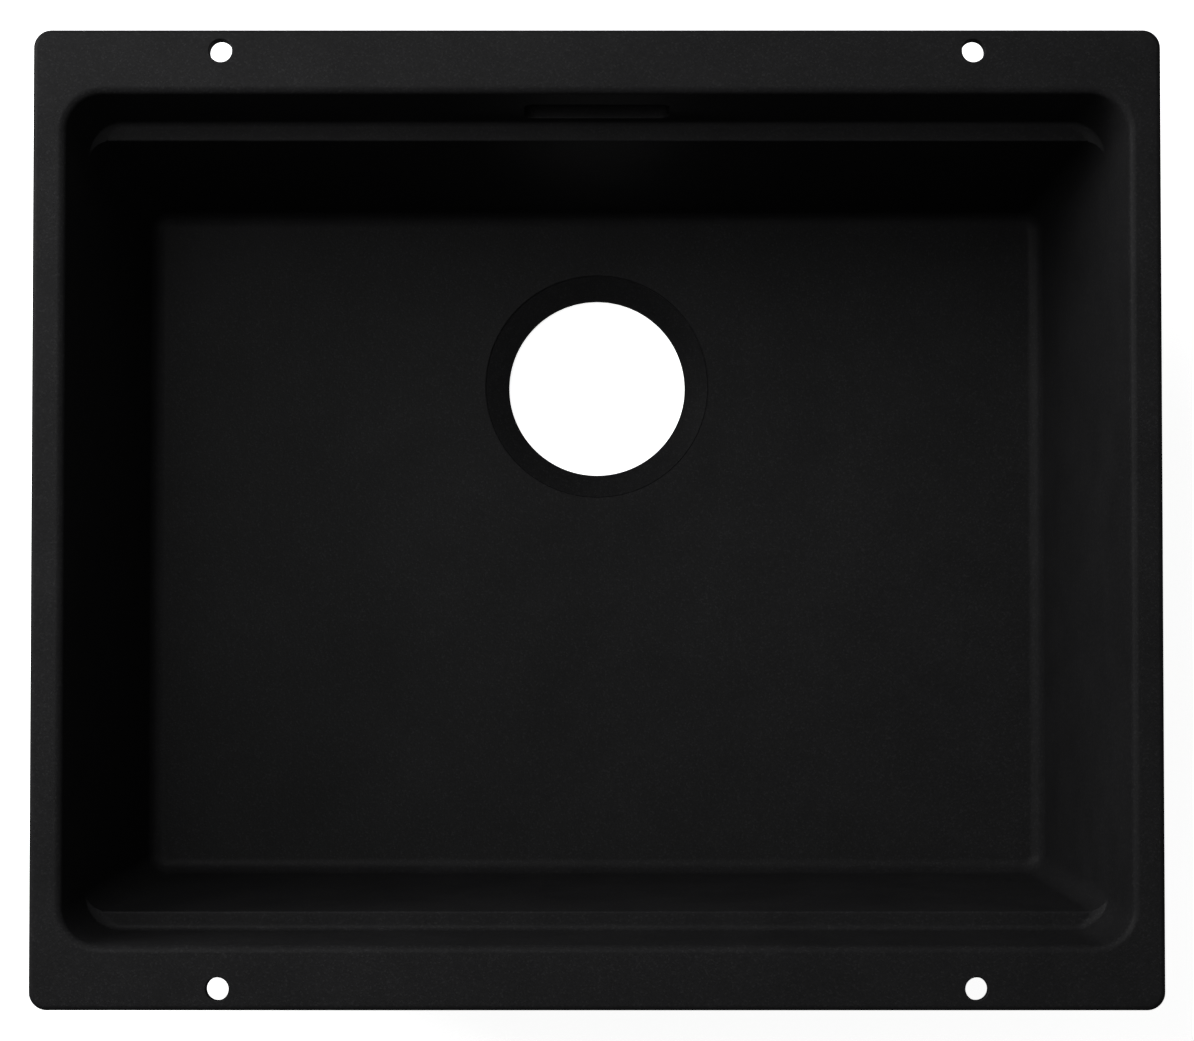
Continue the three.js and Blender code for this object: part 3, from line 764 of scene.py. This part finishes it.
def edge_levels(from_y, to_y, edge):
    """Levels of a plate whose front and rear edges are rounded."""
    front = [(from_y + edge + b, edge - a) for a, b in arc((0, 0), edge, -90, 0, 3)]
    rear = [(to_y - edge + b, edge - a) for a, b in arc((0, 0), edge, 0, 90, 3)]
    return front + rear


def make_gasket():
    """A moulded rubber sheet whose edge has two lips."""
    lips = [(0, 0.5), (0.15, 0.12), (0.4, 0), (0.75, 0.12), (1, 0.35), (1.25, 0.12), (1.6, 0), (1.85, 0.12),
            (GASKET_THICKNESS, 0.5)]
    sheet = edged_plate("gasket_sheet", PLATE_X, PLATE_LOW, PLATE_HIGH, PLATE_CORNER,
                        [(GASKET_Y + y, inset) for y, inset in lips])
    window = edged_plate("gasket_window", WINDOW_X, WINDOW_LOW, WINDOW_HIGH, WINDOW_CORNER,
                         [(GASKET_Y - 1, 0), (GASKET_Y + GASKET_THICKNESS + 1, 0)])
    holes = screw_holes("gasket_hole", SCREW_CLEARANCE, GASKET_Y - 1, PLATE_Y)
    return combine(sheet, [window] + holes, "DIFFERENCE")


def thread_height(z, angle, pitch=THREAD_PITCH):
    """0 at a thread's root and 1 at its crest."""
    phase = (z - pitch * angle / TURN) / pitch
    return min(max(0.5 + 0.95 * math.cos(TURN * phase), 0), 1)


def fade(value, low, high, run):
    """1 well inside low to high, falling to 0 at both ends over the run."""
    return min(max(min(value - low, high - value) / run, 0), 1)


def along_stations(stations, z, reach):
    """The stations' (z, values) at one height, averaged over a short reach so that bends are eased."""
    sums = [0.0] * len(stations[0][1])
    for k in range(EASING_SAMPLES):
        at = z + reach * (2 * k / (EASING_SAMPLES - 1) - 1)
        at = min(max(at, stations[0][0]), stations[-1][0])
        for (z0, v0), (z1, v1) in zip(stations, stations[1:]):
            if z0 <= at <= z1:
                t = (at - z0) / (z1 - z0)
                values = [a + (b - a) * t for a, b in zip(v0, v1)]
                break
        sums = [total + value / EASING_SAMPLES for total, value in zip(sums, values)]
    return sums


def funnel_rings(stations, z, step, reach):
    """Plan rings from one height up into the chamber."""
    rings = []
    while z < FUNNEL_END:
        rings.append(plan_ring(*along_stations(stations, z, reach), z))
        z += step
    return rings


def pipe_size(radius):
    """A circle about the pipe's axis, in the terms of plan_ring."""
    return radius, PIPE_Y - radius, PIPE_Y + radius, radius


def spigot_thread_radius(z, angle):
    part = fade(z, SPIGOT_END + 0.8, SPIGOT_TOP - 2, 1.5)
    return SPIGOT_RADIUS + (THREAD_DEPTH * thread_height(z, angle) - 0.35) * part


def housing_outside():
    size = (CHAMBER_X, HOUSING_FRONT, HOUSING_REAR, HOUSING_CORNER)
    stations = [
        (SPIGOT_END, pipe_size(SPIGOT_RADIUS)), (SPIGOT_TOP, pipe_size(SPIGOT_RADIUS)),
        (FUNNEL_LOW, (FUNNEL_X + CHAMBER_WALL, *size[1:])), (CHAMBER_LOW, size), (CHAMBER_TOP, size),
    ]
    rings = [plan_ring(*pipe_size(SPIGOT_RADIUS - 0.9), SPIGOT_END)]
    start = SPIGOT_END + 0.5
    for level in range(SPIGOT_LEVELS + 1):
        z = start + (SPIGOT_TOP - 2 - start) * level / SPIGOT_LEVELS
        ring = []
        for x, y, _ in plan_ring(*pipe_size(SPIGOT_RADIUS), z):
            angle = math.atan2(y - PIPE_Y, x) % TURN
            ring.append((*around((0, PIPE_Y), spigot_thread_radius(z, angle), angle), z))
        rings.append(ring)
    rings += funnel_rings(stations, SPIGOT_TOP - 1, step=0.9, reach=1.6)
    for a, b in arc((0, 0), HOUSING_EDGE, 0, 90, 5):
        inset = HOUSING_EDGE - a
        rings.append(plan_ring(CHAMBER_X - inset, HOUSING_FRONT + inset, HOUSING_REAR - inset,
                               HOUSING_CORNER - inset, CHAMBER_TOP - HOUSING_EDGE + b))
    return stack("housing_shell", rings)


def housing_hollow():
    size = (WINDOW_X, CHAMBER_FRONT, CHAMBER_REAR, CHAMBER_CORNER)
    low = SPIGOT_END - 2
    stations = [
        (low, pipe_size(SPIGOT_BORE)), (SPIGOT_TOP, pipe_size(SPIGOT_BORE)),
        (FUNNEL_LOW, (FUNNEL_X, *size[1:])), (CHAMBER_LOW, size), (WINDOW_HIGH, size),
    ]
    rings = [plan_ring(*pipe_size(SPIGOT_BORE), low)]
    rings += funnel_rings(stations, SPIGOT_TOP - 3, step=1.5, reach=1.2)
    rings.append(plan_ring(*size, WINDOW_HIGH))
    return stack("housing_hollow", rings)


def gusset(side, z):
    """A stiffening rib between the plate and the chamber's side."""
    inner = WINDOW_X + 1.5
    outer = PLATE_X - 3.5
    low_y = PLATE_REAR - 0.5
    rings = []
    for half, inset in ((0.85, 0), (0.6, 0.25), (-0.6, 0.25), (-0.85, 0)):
        high_y = PLATE_REAR + GUSSET_TALL - inset
        outline = [(inner, low_y), (outer - inset, low_y), (outer - inset, low_y + 0.9), (inner + 4, high_y),
                   (inner, high_y)]
        rings.append([(side * x, y, z + half) for x, y in outline])
    return stack("gusset", rings)


def make_housing():
    """Plate, chamber, funnel and threaded spigot, moulded in one."""
    plate = edged_plate("housing_plate", PLATE_X, PLATE_LOW, PLATE_HIGH, PLATE_CORNER,
                        edge_levels(PLATE_Y, PLATE_REAR, PLATE_EDGE))
    fillet = [(PLATE_REAR + y, inset) for y, inset in (
        (-0.4, -1.6), (0.2, -1.1), (0.7, -0.6), (1.6, -0.1), (3, 0.05))]
    frame_plate = edged_plate("housing_frame", CHAMBER_X, WINDOW_LOW - 2, CHAMBER_TOP, WINDOW_CORNER + 2,
                              fillet)
    heights = (SCREW_LOW + GUSSET_FROM_SCREW, SCREW_HIGH - GUSSET_FROM_SCREW)
    gussets = [gusset(side, z) for side in (-1, 1) for z in heights]
    combine(plate, [frame_plate, housing_outside()] + gussets, "UNION")
    window = edged_plate("housing_window", WINDOW_X, WINDOW_LOW, WINDOW_HIGH, WINDOW_CORNER,
                         [(PLATE_Y - 1, 0), (PLATE_REAR + 4, 0)])
    panel_edge = [(HOUSING_REAR + y, inset) for y, inset in (
        (-0.7, 0.5), (-0.55, 0.15), (-0.2, 0), (1, -0.5))]
    panels = []
    for x in PANEL_PLACES:
        panel = edged_plate("rear_panel", PANEL_X, WINDOW_LOW + 5, WINDOW_HIGH - 3, PANEL_CORNER, panel_edge)
        panels.append(move_mesh(panel, Matrix.Translation(Vector((x, 0, 0)) * MM)))
    holes = screw_holes("plate_hole", SCREW_CLEARANCE, PLATE_Y - 1, PLATE_REAR + 1)
    return combine(plate, [housing_hollow(), window] + panels + holes, "DIFFERENCE")


# ----- screws, washers and inserts, each about its own axis -----

def screw_thread(radius, z, angle):
    part = fade(z, -SCREW_LENGTH + 0.3, -1.0, 0.8)
    if z >= 0 or radius < SCREW_RADIUS - 0.05:
        return radius
    return SCREW_RADIUS - SCREW_THREAD_DEPTH * (1 - thread_height(z, angle, SCREW_PITCH)) * part


def make_screw():
    """A pan-headed screw with a hexagon socket."""
    profile = [(SCREW_RADIUS - 0.8, -SCREW_LENGTH), (SCREW_RADIUS - 0.3, -SCREW_LENGTH + 0.5)]
    for i in range(SCREW_LEVELS + 1):
        profile.append((SCREW_RADIUS, -SCREW_LENGTH + 0.8 + (SCREW_LENGTH - 0.85) * i / SCREW_LEVELS))
    profile += [(HEAD_RADIUS - inset, z) for inset, z in (
        (0.25, 0), (0, 0.2), (0, 1.4), (0.15, 1.9), (0.6, 2.4), (1.3, 2.8), (2.2, HEAD_HEIGHT))]
    screw = spun("screw", profile, 32, radius_at=screw_thread)
    deep_z = HEAD_HEIGHT - SOCKET_DEPTH
    socket = spun("socket", [
        (0.4, deep_z - 0.5), (SOCKET_RADIUS, deep_z), (SOCKET_RADIUS, HEAD_HEIGHT - 0.15),
        (SOCKET_RADIUS + 0.6, HEAD_HEIGHT + 0.45)], 6)
    return combine(screw, [socket], "DIFFERENCE")


def make_washer():
    inner, outer, tall = SCREW_CLEARANCE, WASHER_RADIUS, WASHER_THICKNESS
    section = rounded([(inner, 0, 0.12), (outer, 0, 0.2), (outer, tall, 0.25), (inner, tall, 0.12)])
    return lathe("washer", section, 48)


def knurl(radius, z, angle):
    """Slanted knurling on the two bands of an insert, one slant each way."""
    if radius < INSERT_RADIUS - 0.05:
        return radius
    slant = 1 if z < INSERT_LENGTH / 2 else -1
    return radius - KNURL_DEPTH * (1 + math.cos(KNURLS * angle + slant * KNURL_SLANT * z))


def make_insert():
    half = INSERT_LENGTH / 2
    inner, groove = SCREW_CLEARANCE, INSERT_RADIUS - 0.55
    section = [(inner + 0.3, 0), (INSERT_RADIUS - 0.5, 0)]
    section += [(INSERT_RADIUS, 0.3 + (half - 0.9) * i / 5) for i in range(6)]
    section += [(groove, half - 0.4), (groove, half + 0.4)]
    section += [(INSERT_RADIUS, half + 0.6 + (half - 0.9) * i / 5) for i in range(6)]
    section += [(INSERT_RADIUS - 0.5, INSERT_LENGTH), (inner + 0.3, INSERT_LENGTH)]
    section += [(inner, INSERT_LENGTH - 0.3), (inner, 0.3)]
    return lathe("insert", section, KNURLS * 6, radius_at=knurl)


# ----- seals, slip rings, elbow and nuts -----

def make_outlet_seal():
    """A flat ring seal with a small bead on each face."""
    inner, outer, low, high = SPIGOT_BORE, SPIGOT_RADIUS, 0.12, SEAL_THICKNESS - 0.12
    section = rounded([
        (inner, low, 0.3), (inner + 0.8, low, 0.1), (inner + 1.25, 0, 0.2), (outer - 0.8, low, 0.1),
        (outer, low, 0.3), (outer, high, 0.3), (outer - 0.8, high, 0.1), (inner + 1.25, SEAL_THICKNESS, 0.2),
        (inner + 0.8, high, 0.1), (inner, high, 0.3),
    ])
    return lathe("outlet_seal_ring", section, 64)


def make_slip_ring(inner, outer):
    tall = RING_THICKNESS
    section = rounded([(inner, 0, 0.2), (outer, 0, 0.3), (outer, tall, 0.3), (inner, tall, 0.2)])
    return lathe("slip_ring", section, 64)


ELBOW_ANGLES = sorted([7.5 * i for i in range(48)] + [88.2, 91.8, 268.2, 271.8])


def elbow_ring(centre, across, radius_at, seam=0.0):
    """A round ring on the elbow's run; the mould's seam stands a little proud on both sides."""
    points = []
    for degrees in ELBOW_ANGLES:
        angle = math.radians(degrees)
        r = radius_at(angle) if callable(radius_at) else radius_at
        if degrees in (90.0, 270.0):
            r += seam
        side = r * math.cos(angle)
        points.append((centre[0] + across[0] * side, centre[1] + r * math.sin(angle),
                       centre[2] + across[2] * side))
    return points


def elbow_neck(z, radius, seam=0.0):
    return elbow_ring((0, PIPE_Y, z), (1, 0, 0), radius, seam)


def elbow_tail(x, radius, seam=0.0):
    return elbow_ring((x, PIPE_Y, TAIL_Z), (0, 0, 1), radius, seam)


def elbow_bend(radius, seam=0.0):
    steps = 14
    rings = []
    for i in range(1, steps):
        angle = math.pi / 2 * i / steps
        across = (math.cos(angle), 0, math.sin(angle))
        centre = (BEND_RADIUS * (1 - across[0]), PIPE_Y, BEND_TOP - BEND_RADIUS * across[2])
        rings.append(elbow_ring(centre, across, radius, seam))
    return rings


def tail_thread(x):
    part = fade(x, TAIL_THREAD_START + 0.2, TAIL_END - 0.6, 1.2)
    return lambda angle: TAIL_RADIUS + (THREAD_DEPTH * thread_height(x, -angle) - 0.4) * part


def make_elbow():
    """Collar, neck, bend and threaded tail in one, open from end to end."""
    rings = [elbow_neck(z, radius) for z, radius in (
        (COLLAR_HIGH, ELBOW_BORE + 0.4), (COLLAR_HIGH, COLLAR_RADIUS - 0.5),
        (COLLAR_HIGH - 0.15, COLLAR_RADIUS - 0.12), (COLLAR_HIGH - 0.5, COLLAR_RADIUS),
        (COLLAR_LOW + 0.4, COLLAR_RADIUS), (COLLAR_LOW + 0.1, COLLAR_RADIUS - 0.1),
        (COLLAR_LOW, COLLAR_RADIUS - 0.4), (COLLAR_LOW, ELBOW_RADIUS + 0.3),
        (COLLAR_LOW - 0.3, ELBOW_RADIUS))]
    rings += [elbow_neck(BEND_TOP + 16 - i, ELBOW_RADIUS, MOULD_SEAM) for i in range(1, 17)]
    rings += elbow_bend(ELBOW_RADIUS, MOULD_SEAM)
    rings += [elbow_tail(BEND_RADIUS + x, ELBOW_RADIUS, MOULD_SEAM) for x in (0, 0.6, 1.2)]
    rings += [elbow_tail(BEND_RADIUS + x, radius) for x, radius in TAIL_STOP]
    for level in range(TAIL_LEVELS + 1):
        x = TAIL_THREAD_START + (TAIL_END - 0.5 - TAIL_THREAD_START) * level / TAIL_LEVELS
        rings.append(elbow_tail(x, tail_thread(x)))
    rings += [elbow_tail(x, radius) for x, radius in (
        (TAIL_END, TAIL_RADIUS - 0.6), (TAIL_END, MOUTH_RADIUS + 0.15), (TAIL_END - 0.3, MOUTH_RADIUS - 0.1),
        (TAIL_END - MOUTH_DEPTH, ELBOW_BORE))]
    rings += [elbow_tail(BEND_RADIUS + x, ELBOW_BORE) for x in (12, 6, 0)]
    rings += reversed(elbow_bend(ELBOW_BORE))
    rings += [elbow_neck(BEND_TOP, ELBOW_BORE), elbow_neck(COLLAR_HIGH - 0.4, ELBOW_BORE)]
    return stack("elbow", rings, closed=True)


def make_nut(name, outer, bore, lip_bore, height, grip):
    """A union nut about +Z with rounded grip ribs; its lip is at the foot and its thread at the mouth."""
    section = [(lip_bore, NUT_LIP - 0.2), (lip_bore, 0.25), (lip_bore + 0.25, 0), (outer - 1.6, 0)]
    section += [(outer - 1.15, 0.1), (outer - 0.5, 0.45), (outer - 0.12, 1.0), (outer, 1.6)]
    section += [(outer, 1.6 + (height - 3.0) * i / 8) for i in range(1, 9)]
    section += [(outer - 0.1, height - 0.85), (outer - 0.5, height - 0.3), (outer - 1.1, height)]
    section += [(bore + 0.5, height), (bore, height - 0.5)]
    levels = int(grip / 0.28)
    section += [(bore, height - 0.5 - (grip - 0.5) * i / levels) for i in range(1, levels + 1)]
    section += [(bore, NUT_LIP + 0.3), (bore - 0.3, NUT_LIP), (lip_bore + 0.2, NUT_LIP)]

    def ribbed(radius, z, angle):
        if radius > outer - 1.05:
            wave = math.cos(NUT_RIBS * (angle - NUT_RIB_START))
            dip = min(max(0.5 - 0.85 * wave, 0), 1)
            return radius - NUT_RIB_DEPTH * smooth_step(dip)
        if abs(radius - bore) < 0.01 and z > height - grip:
            depth = NUT_THREAD_DEPTH * fade(z, height - grip, height - 0.3, 1.0)
            return bore + depth * thread_height(z, angle)
        return radius
    return lathe(name, section, NUT_RIBS * 10, radius_at=ribbed)


def make_hose_seal():
    """A rubber cone with a flange, and two soft lips round its bore."""
    bore, outer, flange = HOSE_SEAL_BORE, HOSE_SEAL_RADIUS, HOSE_SEAL_FLANGE
    nose = MOUTH_DEPTH - 1
    section = [(bore + 0.25, -nose), (ELBOW_BORE - 0.45, -nose), (ELBOW_BORE - 0.3, -nose + 0.15)]
    section += [(MOUTH_RADIUS - 0.7, -0.2), (MOUTH_RADIUS - 0.5, 0), (outer - 0.2, 0), (outer, 0.25)]
    section += [(outer, flange - 0.6), (outer - 0.15, flange - 0.2), (outer - 0.55, flange)]
    section += [(bore + 0.3, flange), (bore, flange - 0.3)]
    section += [(bore + 0.12, 1.9), (bore, 1.3), (bore + 0.12, 0.7), (bore + 0.12, -0.5), (bore, -1.1)]
    section += [(bore + 0.12, -1.7), (bore, -nose + 0.3)]
    return lathe("hose_seal_cone", section, 64)


# ----- materials -----

NOISE_RANGE = (0.3, 0.7)
STONE_GRAIN_SCALE = 1500
STONE_FINE_SCALE = 900
STONE_CLOUD_SCALE = 26
STONE_GRAINS = (
    (0.0, (0.0078, 0.0078, 0.0081)), (0.55, (0.0092, 0.0092, 0.0096)),
    (0.9, (0.0110, 0.0110, 0.0114)), (0.97, (0.0145, 0.0145, 0.0150)),
)
STONE_CLOUDS = ((0.86, 0.86, 0.86), (1.12, 1.12, 1.12))
STONE_ROUGHNESS = (0.47, 0.53)
STONE_GLOSS = {"Specular IOR Level": 0.0, "Coat Weight": 0.05, "Coat Roughness": 0.42}


def material(name):
    made = bpy.data.materials.new(name)
    made.use_nodes = True
    nodes = made.node_tree.nodes
    return made, nodes, nodes["Principled BSDF"]


def join(output, socket):
    socket.id_data.links.new(output, socket)


def set_inputs(node, values):
    for name, value in values.items():
        node.inputs[name].default_value = value
    return node


def coordinates(nodes):
    return nodes.new("ShaderNodeTexCoord").outputs["Object"]


def noise(nodes, where, scale, detail, roughness):
    node = nodes.new("ShaderNodeTexNoise")
    set_inputs(node, {"Scale": scale, "Detail": detail, "Roughness": roughness})
    join(where, node.inputs["Vector"])
    return node.outputs["Fac"]


def spread(nodes, value, to_low, to_high, start=0, end=1):
    """The value, which runs from start to end, spread from to_low to to_high."""
    node = nodes.new("ShaderNodeMapRange")
    set_inputs(node, {"From Min": start, "From Max": end, "To Min": to_low, "To Max": to_high})
    join(value, node.inputs["Value"])
    return node.outputs["Result"]


def ramp(nodes, value, stops):
    node = nodes.new("ShaderNodeValToRGB")
    elements = node.color_ramp.elements
    while len(elements) < len(stops):
        elements.new(0.5)
    for element, (position, colour) in zip(elements, stops):
        element.position = position
        element.color = (*colour, 1)
    join(value, node.inputs["Fac"])
    return node.outputs["Color"]


def noise_ramp(nodes, value, low, high):
    """Two colours over the range that a noise really takes."""
    return ramp(nodes, value, list(zip(NOISE_RANGE, (low, high))))


def vary(nodes, shader, value, colours, roughness):
    """A colour and a roughness that follow a noise."""
    join(noise_ramp(nodes, value, *colours), shader.inputs["Base Color"])
    join(spread(nodes, value, *roughness, *NOISE_RANGE), shader.inputs["Roughness"])


def bump(nodes, height, distance, strength, normal=None):
    node = set_inputs(nodes.new("ShaderNodeBump"), {"Strength": strength, "Distance": distance})
    join(height, node.inputs["Height"])
    if normal is not None:
        join(normal, node.inputs["Normal"])
    return node.outputs["Normal"]


def stone_composite():
    """Near-black resin full of fine quartz: a tight matt grain, a few paler grains, a faint cloudiness."""
    made, nodes, shader = material("stone_composite")
    where = coordinates(nodes)
    grains = set_inputs(nodes.new("ShaderNodeTexVoronoi"), {"Scale": STONE_GRAIN_SCALE})
    join(where, grains.inputs["Vector"])
    split = nodes.new("ShaderNodeSeparateColor")
    join(grains.outputs["Color"], split.inputs["Color"])
    clouds = noise(nodes, where, STONE_CLOUD_SCALE, 5, 0.6)
    mix = nodes.new("ShaderNodeMix")
    mix.data_type = "RGBA"
    mix.blend_type = "MULTIPLY"
    set_inputs(mix, {"Factor": 1.0})
    join(ramp(nodes, split.outputs["Red"], STONE_GRAINS), mix.inputs["A"])
    join(noise_ramp(nodes, clouds, *STONE_CLOUDS), mix.inputs["B"])
    join(mix.outputs["Result"], shader.inputs["Base Color"])
    join(spread(nodes, clouds, *STONE_ROUGHNESS, *NOISE_RANGE), shader.inputs["Roughness"])
    fine = noise(nodes, where, STONE_FINE_SCALE, 3, 0.6)
    rough_skin = bump(nodes, grains.outputs["Distance"], 0.00006, 0.5)
    join(bump(nodes, fine, 0.00010, 0.6, rough_skin), shader.inputs["Normal"])
    set_inputs(shader, STONE_GLOSS)
    return made


def moulded(name, colour, roughness, texture, grain=0.00004, clouding=0.08):
    """A moulded plastic or rubber: spark-textured skin, faint flow marks and uneven gloss."""
    made, nodes, shader = material(name)
    where = coordinates(nodes)
    flow = noise(nodes, where, 45, 3, 0.5)
    low = tuple(c * (1 - clouding) for c in colour)
    high = tuple(c * (1 + clouding) for c in colour)
    vary(nodes, shader, flow, (low, high), (roughness - 0.05, roughness + 0.05))
    skin = noise(nodes, where, texture, 3, 0.6)
    join(bump(nodes, skin, grain, 0.7), shader.inputs["Normal"])
    return made


def turned_metal(name, colour, roughness, lines):
    """Metal turned on a lathe: fine rings about the piece's own axis, and light handling marks."""
    made, nodes, shader = material(name)
    where = coordinates(nodes)
    set_inputs(shader, {"Metallic": 1.0})
    rings = set_inputs(nodes.new("ShaderNodeTexWave"), {"Scale": lines, "Distortion": 0.6})
    rings.wave_type = "RINGS"
    rings.rings_direction = "Z"
    join(where, rings.inputs["Vector"])
    marks = noise(nodes, where, 700, 4, 0.65)
    low = tuple(c * 0.86 for c in colour)
    vary(nodes, shader, marks, (low, colour), (roughness - 0.07, roughness + 0.09))
    join(bump(nodes, rings.outputs["Fac"], 0.00002, 0.5), shader.inputs["Normal"])
    return made


# ----- stage, lights and camera -----

def math_node(nodes, operation, first, second):
    node = nodes.new("ShaderNodeMath")
    node.operation = operation
    join(first, node.inputs[0])
    join(second, node.inputs[1])
    return node.outputs[0]


def seen_from(nodes, camera, mirror):
    """One strength for camera rays and one for mirrored or refracted rays; none for diffuse light."""
    path = nodes.new("ShaderNodeLightPath").outputs
    mirrored = math_node(nodes, "MAXIMUM", path["Is Glossy Ray"], path["Is Transmission Ray"])
    shown = spread(nodes, path["Is Camera Ray"], 0, camera)
    return math_node(nodes, "ADD", shown, spread(nodes, mirrored, 0, mirror))


def white_ground():
    """A pale floor that the camera sees as white, and that still takes the object's shadow."""
    made, nodes, shader = material("pale_ground")
    set_inputs(shader, {"Base Color": GROUND_COLOUR, "Roughness": 0.9, "Specular IOR Level": 0.1,
                        "Emission Color": WHITE})
    join(seen_from(nodes, GROUND_SEEN, GROUND_MIRRORED), shader.inputs["Emission Strength"])
    return made


def add_stage():
    half = GROUND_HALF / MM
    floor = new_object("ground", [(x * half, y * half, 0) for x, y in QUARTERS], [(0, 1, 2, 3)])
    floor.data.materials.append(white_ground())


def add_world():
    """White as it is seen and mirrored, and a faint even fill on everything else."""
    world = bpy.data.worlds.new("studio")
    bpy.context.scene.world = world
    world.use_nodes = True
    nodes = world.node_tree.nodes
    back = set_inputs(nodes["Background"], {"Color": WHITE})
    strength = seen_from(nodes, 1 - FILL_LIGHT, 1 - FILL_LIGHT)
    join(spread(nodes, strength, FILL_LIGHT, 1 + FILL_LIGHT), back.inputs["Strength"])


def add_lights():
    for name, place, side, power in LAMPS:
        data = bpy.data.lights.new(name, "AREA")
        data.shape = "RECTANGLE"
        data.size = data.size_y = side
        data.energy = power
        lamp = add_object(name, data)
        lamp.location = place
        lamp.rotation_euler = (Vector(LAMP_TARGET) - Vector(place)).to_track_quat("-Z", "Y").to_euler()


def add_camera():
    data = bpy.data.cameras.new("camera")
    data.lens = CAMERA_LENS
    data.shift_y = CAMERA_SHIFT_Y
    data.clip_end = CAMERA_REACH
    camera = add_object("camera", data)
    camera.location = CAMERA_PLACE
    camera.rotation_euler = (CAMERA_TILT, 0, 0)
    bpy.context.scene.camera = camera


bpy.context.scene.view_settings.view_transform = "Standard"
add_camera()
add_stage()
add_world()
add_lights()

# ----- the pieces, each on its body -----

finishes = {
    "stone_composite": stone_composite(),
    "black_rubber": moulded("black_rubber", (0.020, 0.020, 0.021), 0.72, 1400, 0.00005, 0.12),
    "grey_plastic": moulded("grey_plastic", (0.090, 0.095, 0.100), 0.48, 1800),
    "white_plastic": moulded("white_plastic", (0.75, 0.75, 0.72), 0.38, 900, 0.00002, 0.03),
    "black_plastic": moulded("black_plastic", (0.016, 0.017, 0.019), 0.42, 2000),
    "stainless_steel": turned_metal("stainless_steel", (0.55, 0.56, 0.57), 0.27, 900),
    "brass": turned_metal("brass", (0.72, 0.50, 0.20), 0.33, 700),
}


def install(piece, body, slot, node, place=(0, 0, 0), *turns):
    """Sets a piece down in the frame. It gets its finish, rides on a body and is shown for a CAD node."""
    piece.matrix_world = Matrix.Translation(Vector(place) * MM)
    for degrees, axis in turns:
        piece.matrix_world = piece.matrix_world @ Matrix.Rotation(math.radians(degrees), 4, axis)
    piece.data.materials.clear()
    piece.data.materials.append(finishes[slot])
    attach(piece, body)
    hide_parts(node)


TO_RIGHT = (90, "Y")

install(make_bowl(), "sink", "stone_composite", "sink_bowl")
install(make_gasket(), "sink", "black_rubber", "overflow_gasket")
install(make_housing(), "sink", "grey_plastic", "overflow_housing")

for number, (x, z) in enumerate(SCREW_PLACES, 1):
    for make, slot, name, y in (
        (make_insert, "brass", "threaded_insert", REAR_BOSS_Y - GAP - INSERT_LENGTH),
        (make_washer, "stainless_steel", "housing_washer", PLATE_REAR + GAP),
        (make_screw, "stainless_steel", "housing_screw", PLATE_REAR + WASHER_THICKNESS + 2 * GAP),
    ):
        install(make(), "sink", slot, f"{name}_{number}", (x, y, z), (-90, "X"))

install(make_outlet_seal(), "sink", "black_rubber", "outlet_seal", (0, PIPE_Y, SEAL_LOW))
install(make_elbow(), "elbow", "grey_plastic", "outlet_elbow")
install(make_slip_ring(UNION_RING_BORE, COLLAR_RADIUS), "union_ring", "white_plastic", "union_slip_ring",
        (0, PIPE_Y, UNION_RING_LOW))
install(make_nut("union_nut", UNION_NUT_RADIUS, UNION_NUT_BORE, UNION_RING_BORE, UNION_NUT_HEIGHT, 9),
        "union_nut", "black_plastic", "union_nut", (0, PIPE_Y, UNION_NUT_LOW))
install(make_hose_seal(), "elbow", "black_rubber", "hose_seal", (HOSE_SEAL_X, PIPE_Y, TAIL_Z), TO_RIGHT)
install(make_slip_ring(HOSE_SEAL_BORE, HOSE_SEAL_RADIUS), "hose_ring", "white_plastic", "hose_slip_ring",
        (HOSE_RING_X, PIPE_Y, TAIL_Z), TO_RIGHT)
install(make_nut("hose_nut", HOSE_NUT_RADIUS, HOSE_NUT_BORE, HOSE_NUT_LIP_BORE, HOSE_NUT_HEIGHT, 11),
        "hose_nut", "black_plastic", "hose_nut", (HOSE_NUT_END, PIPE_Y, TAIL_Z), TO_RIGHT, (180, "X"))
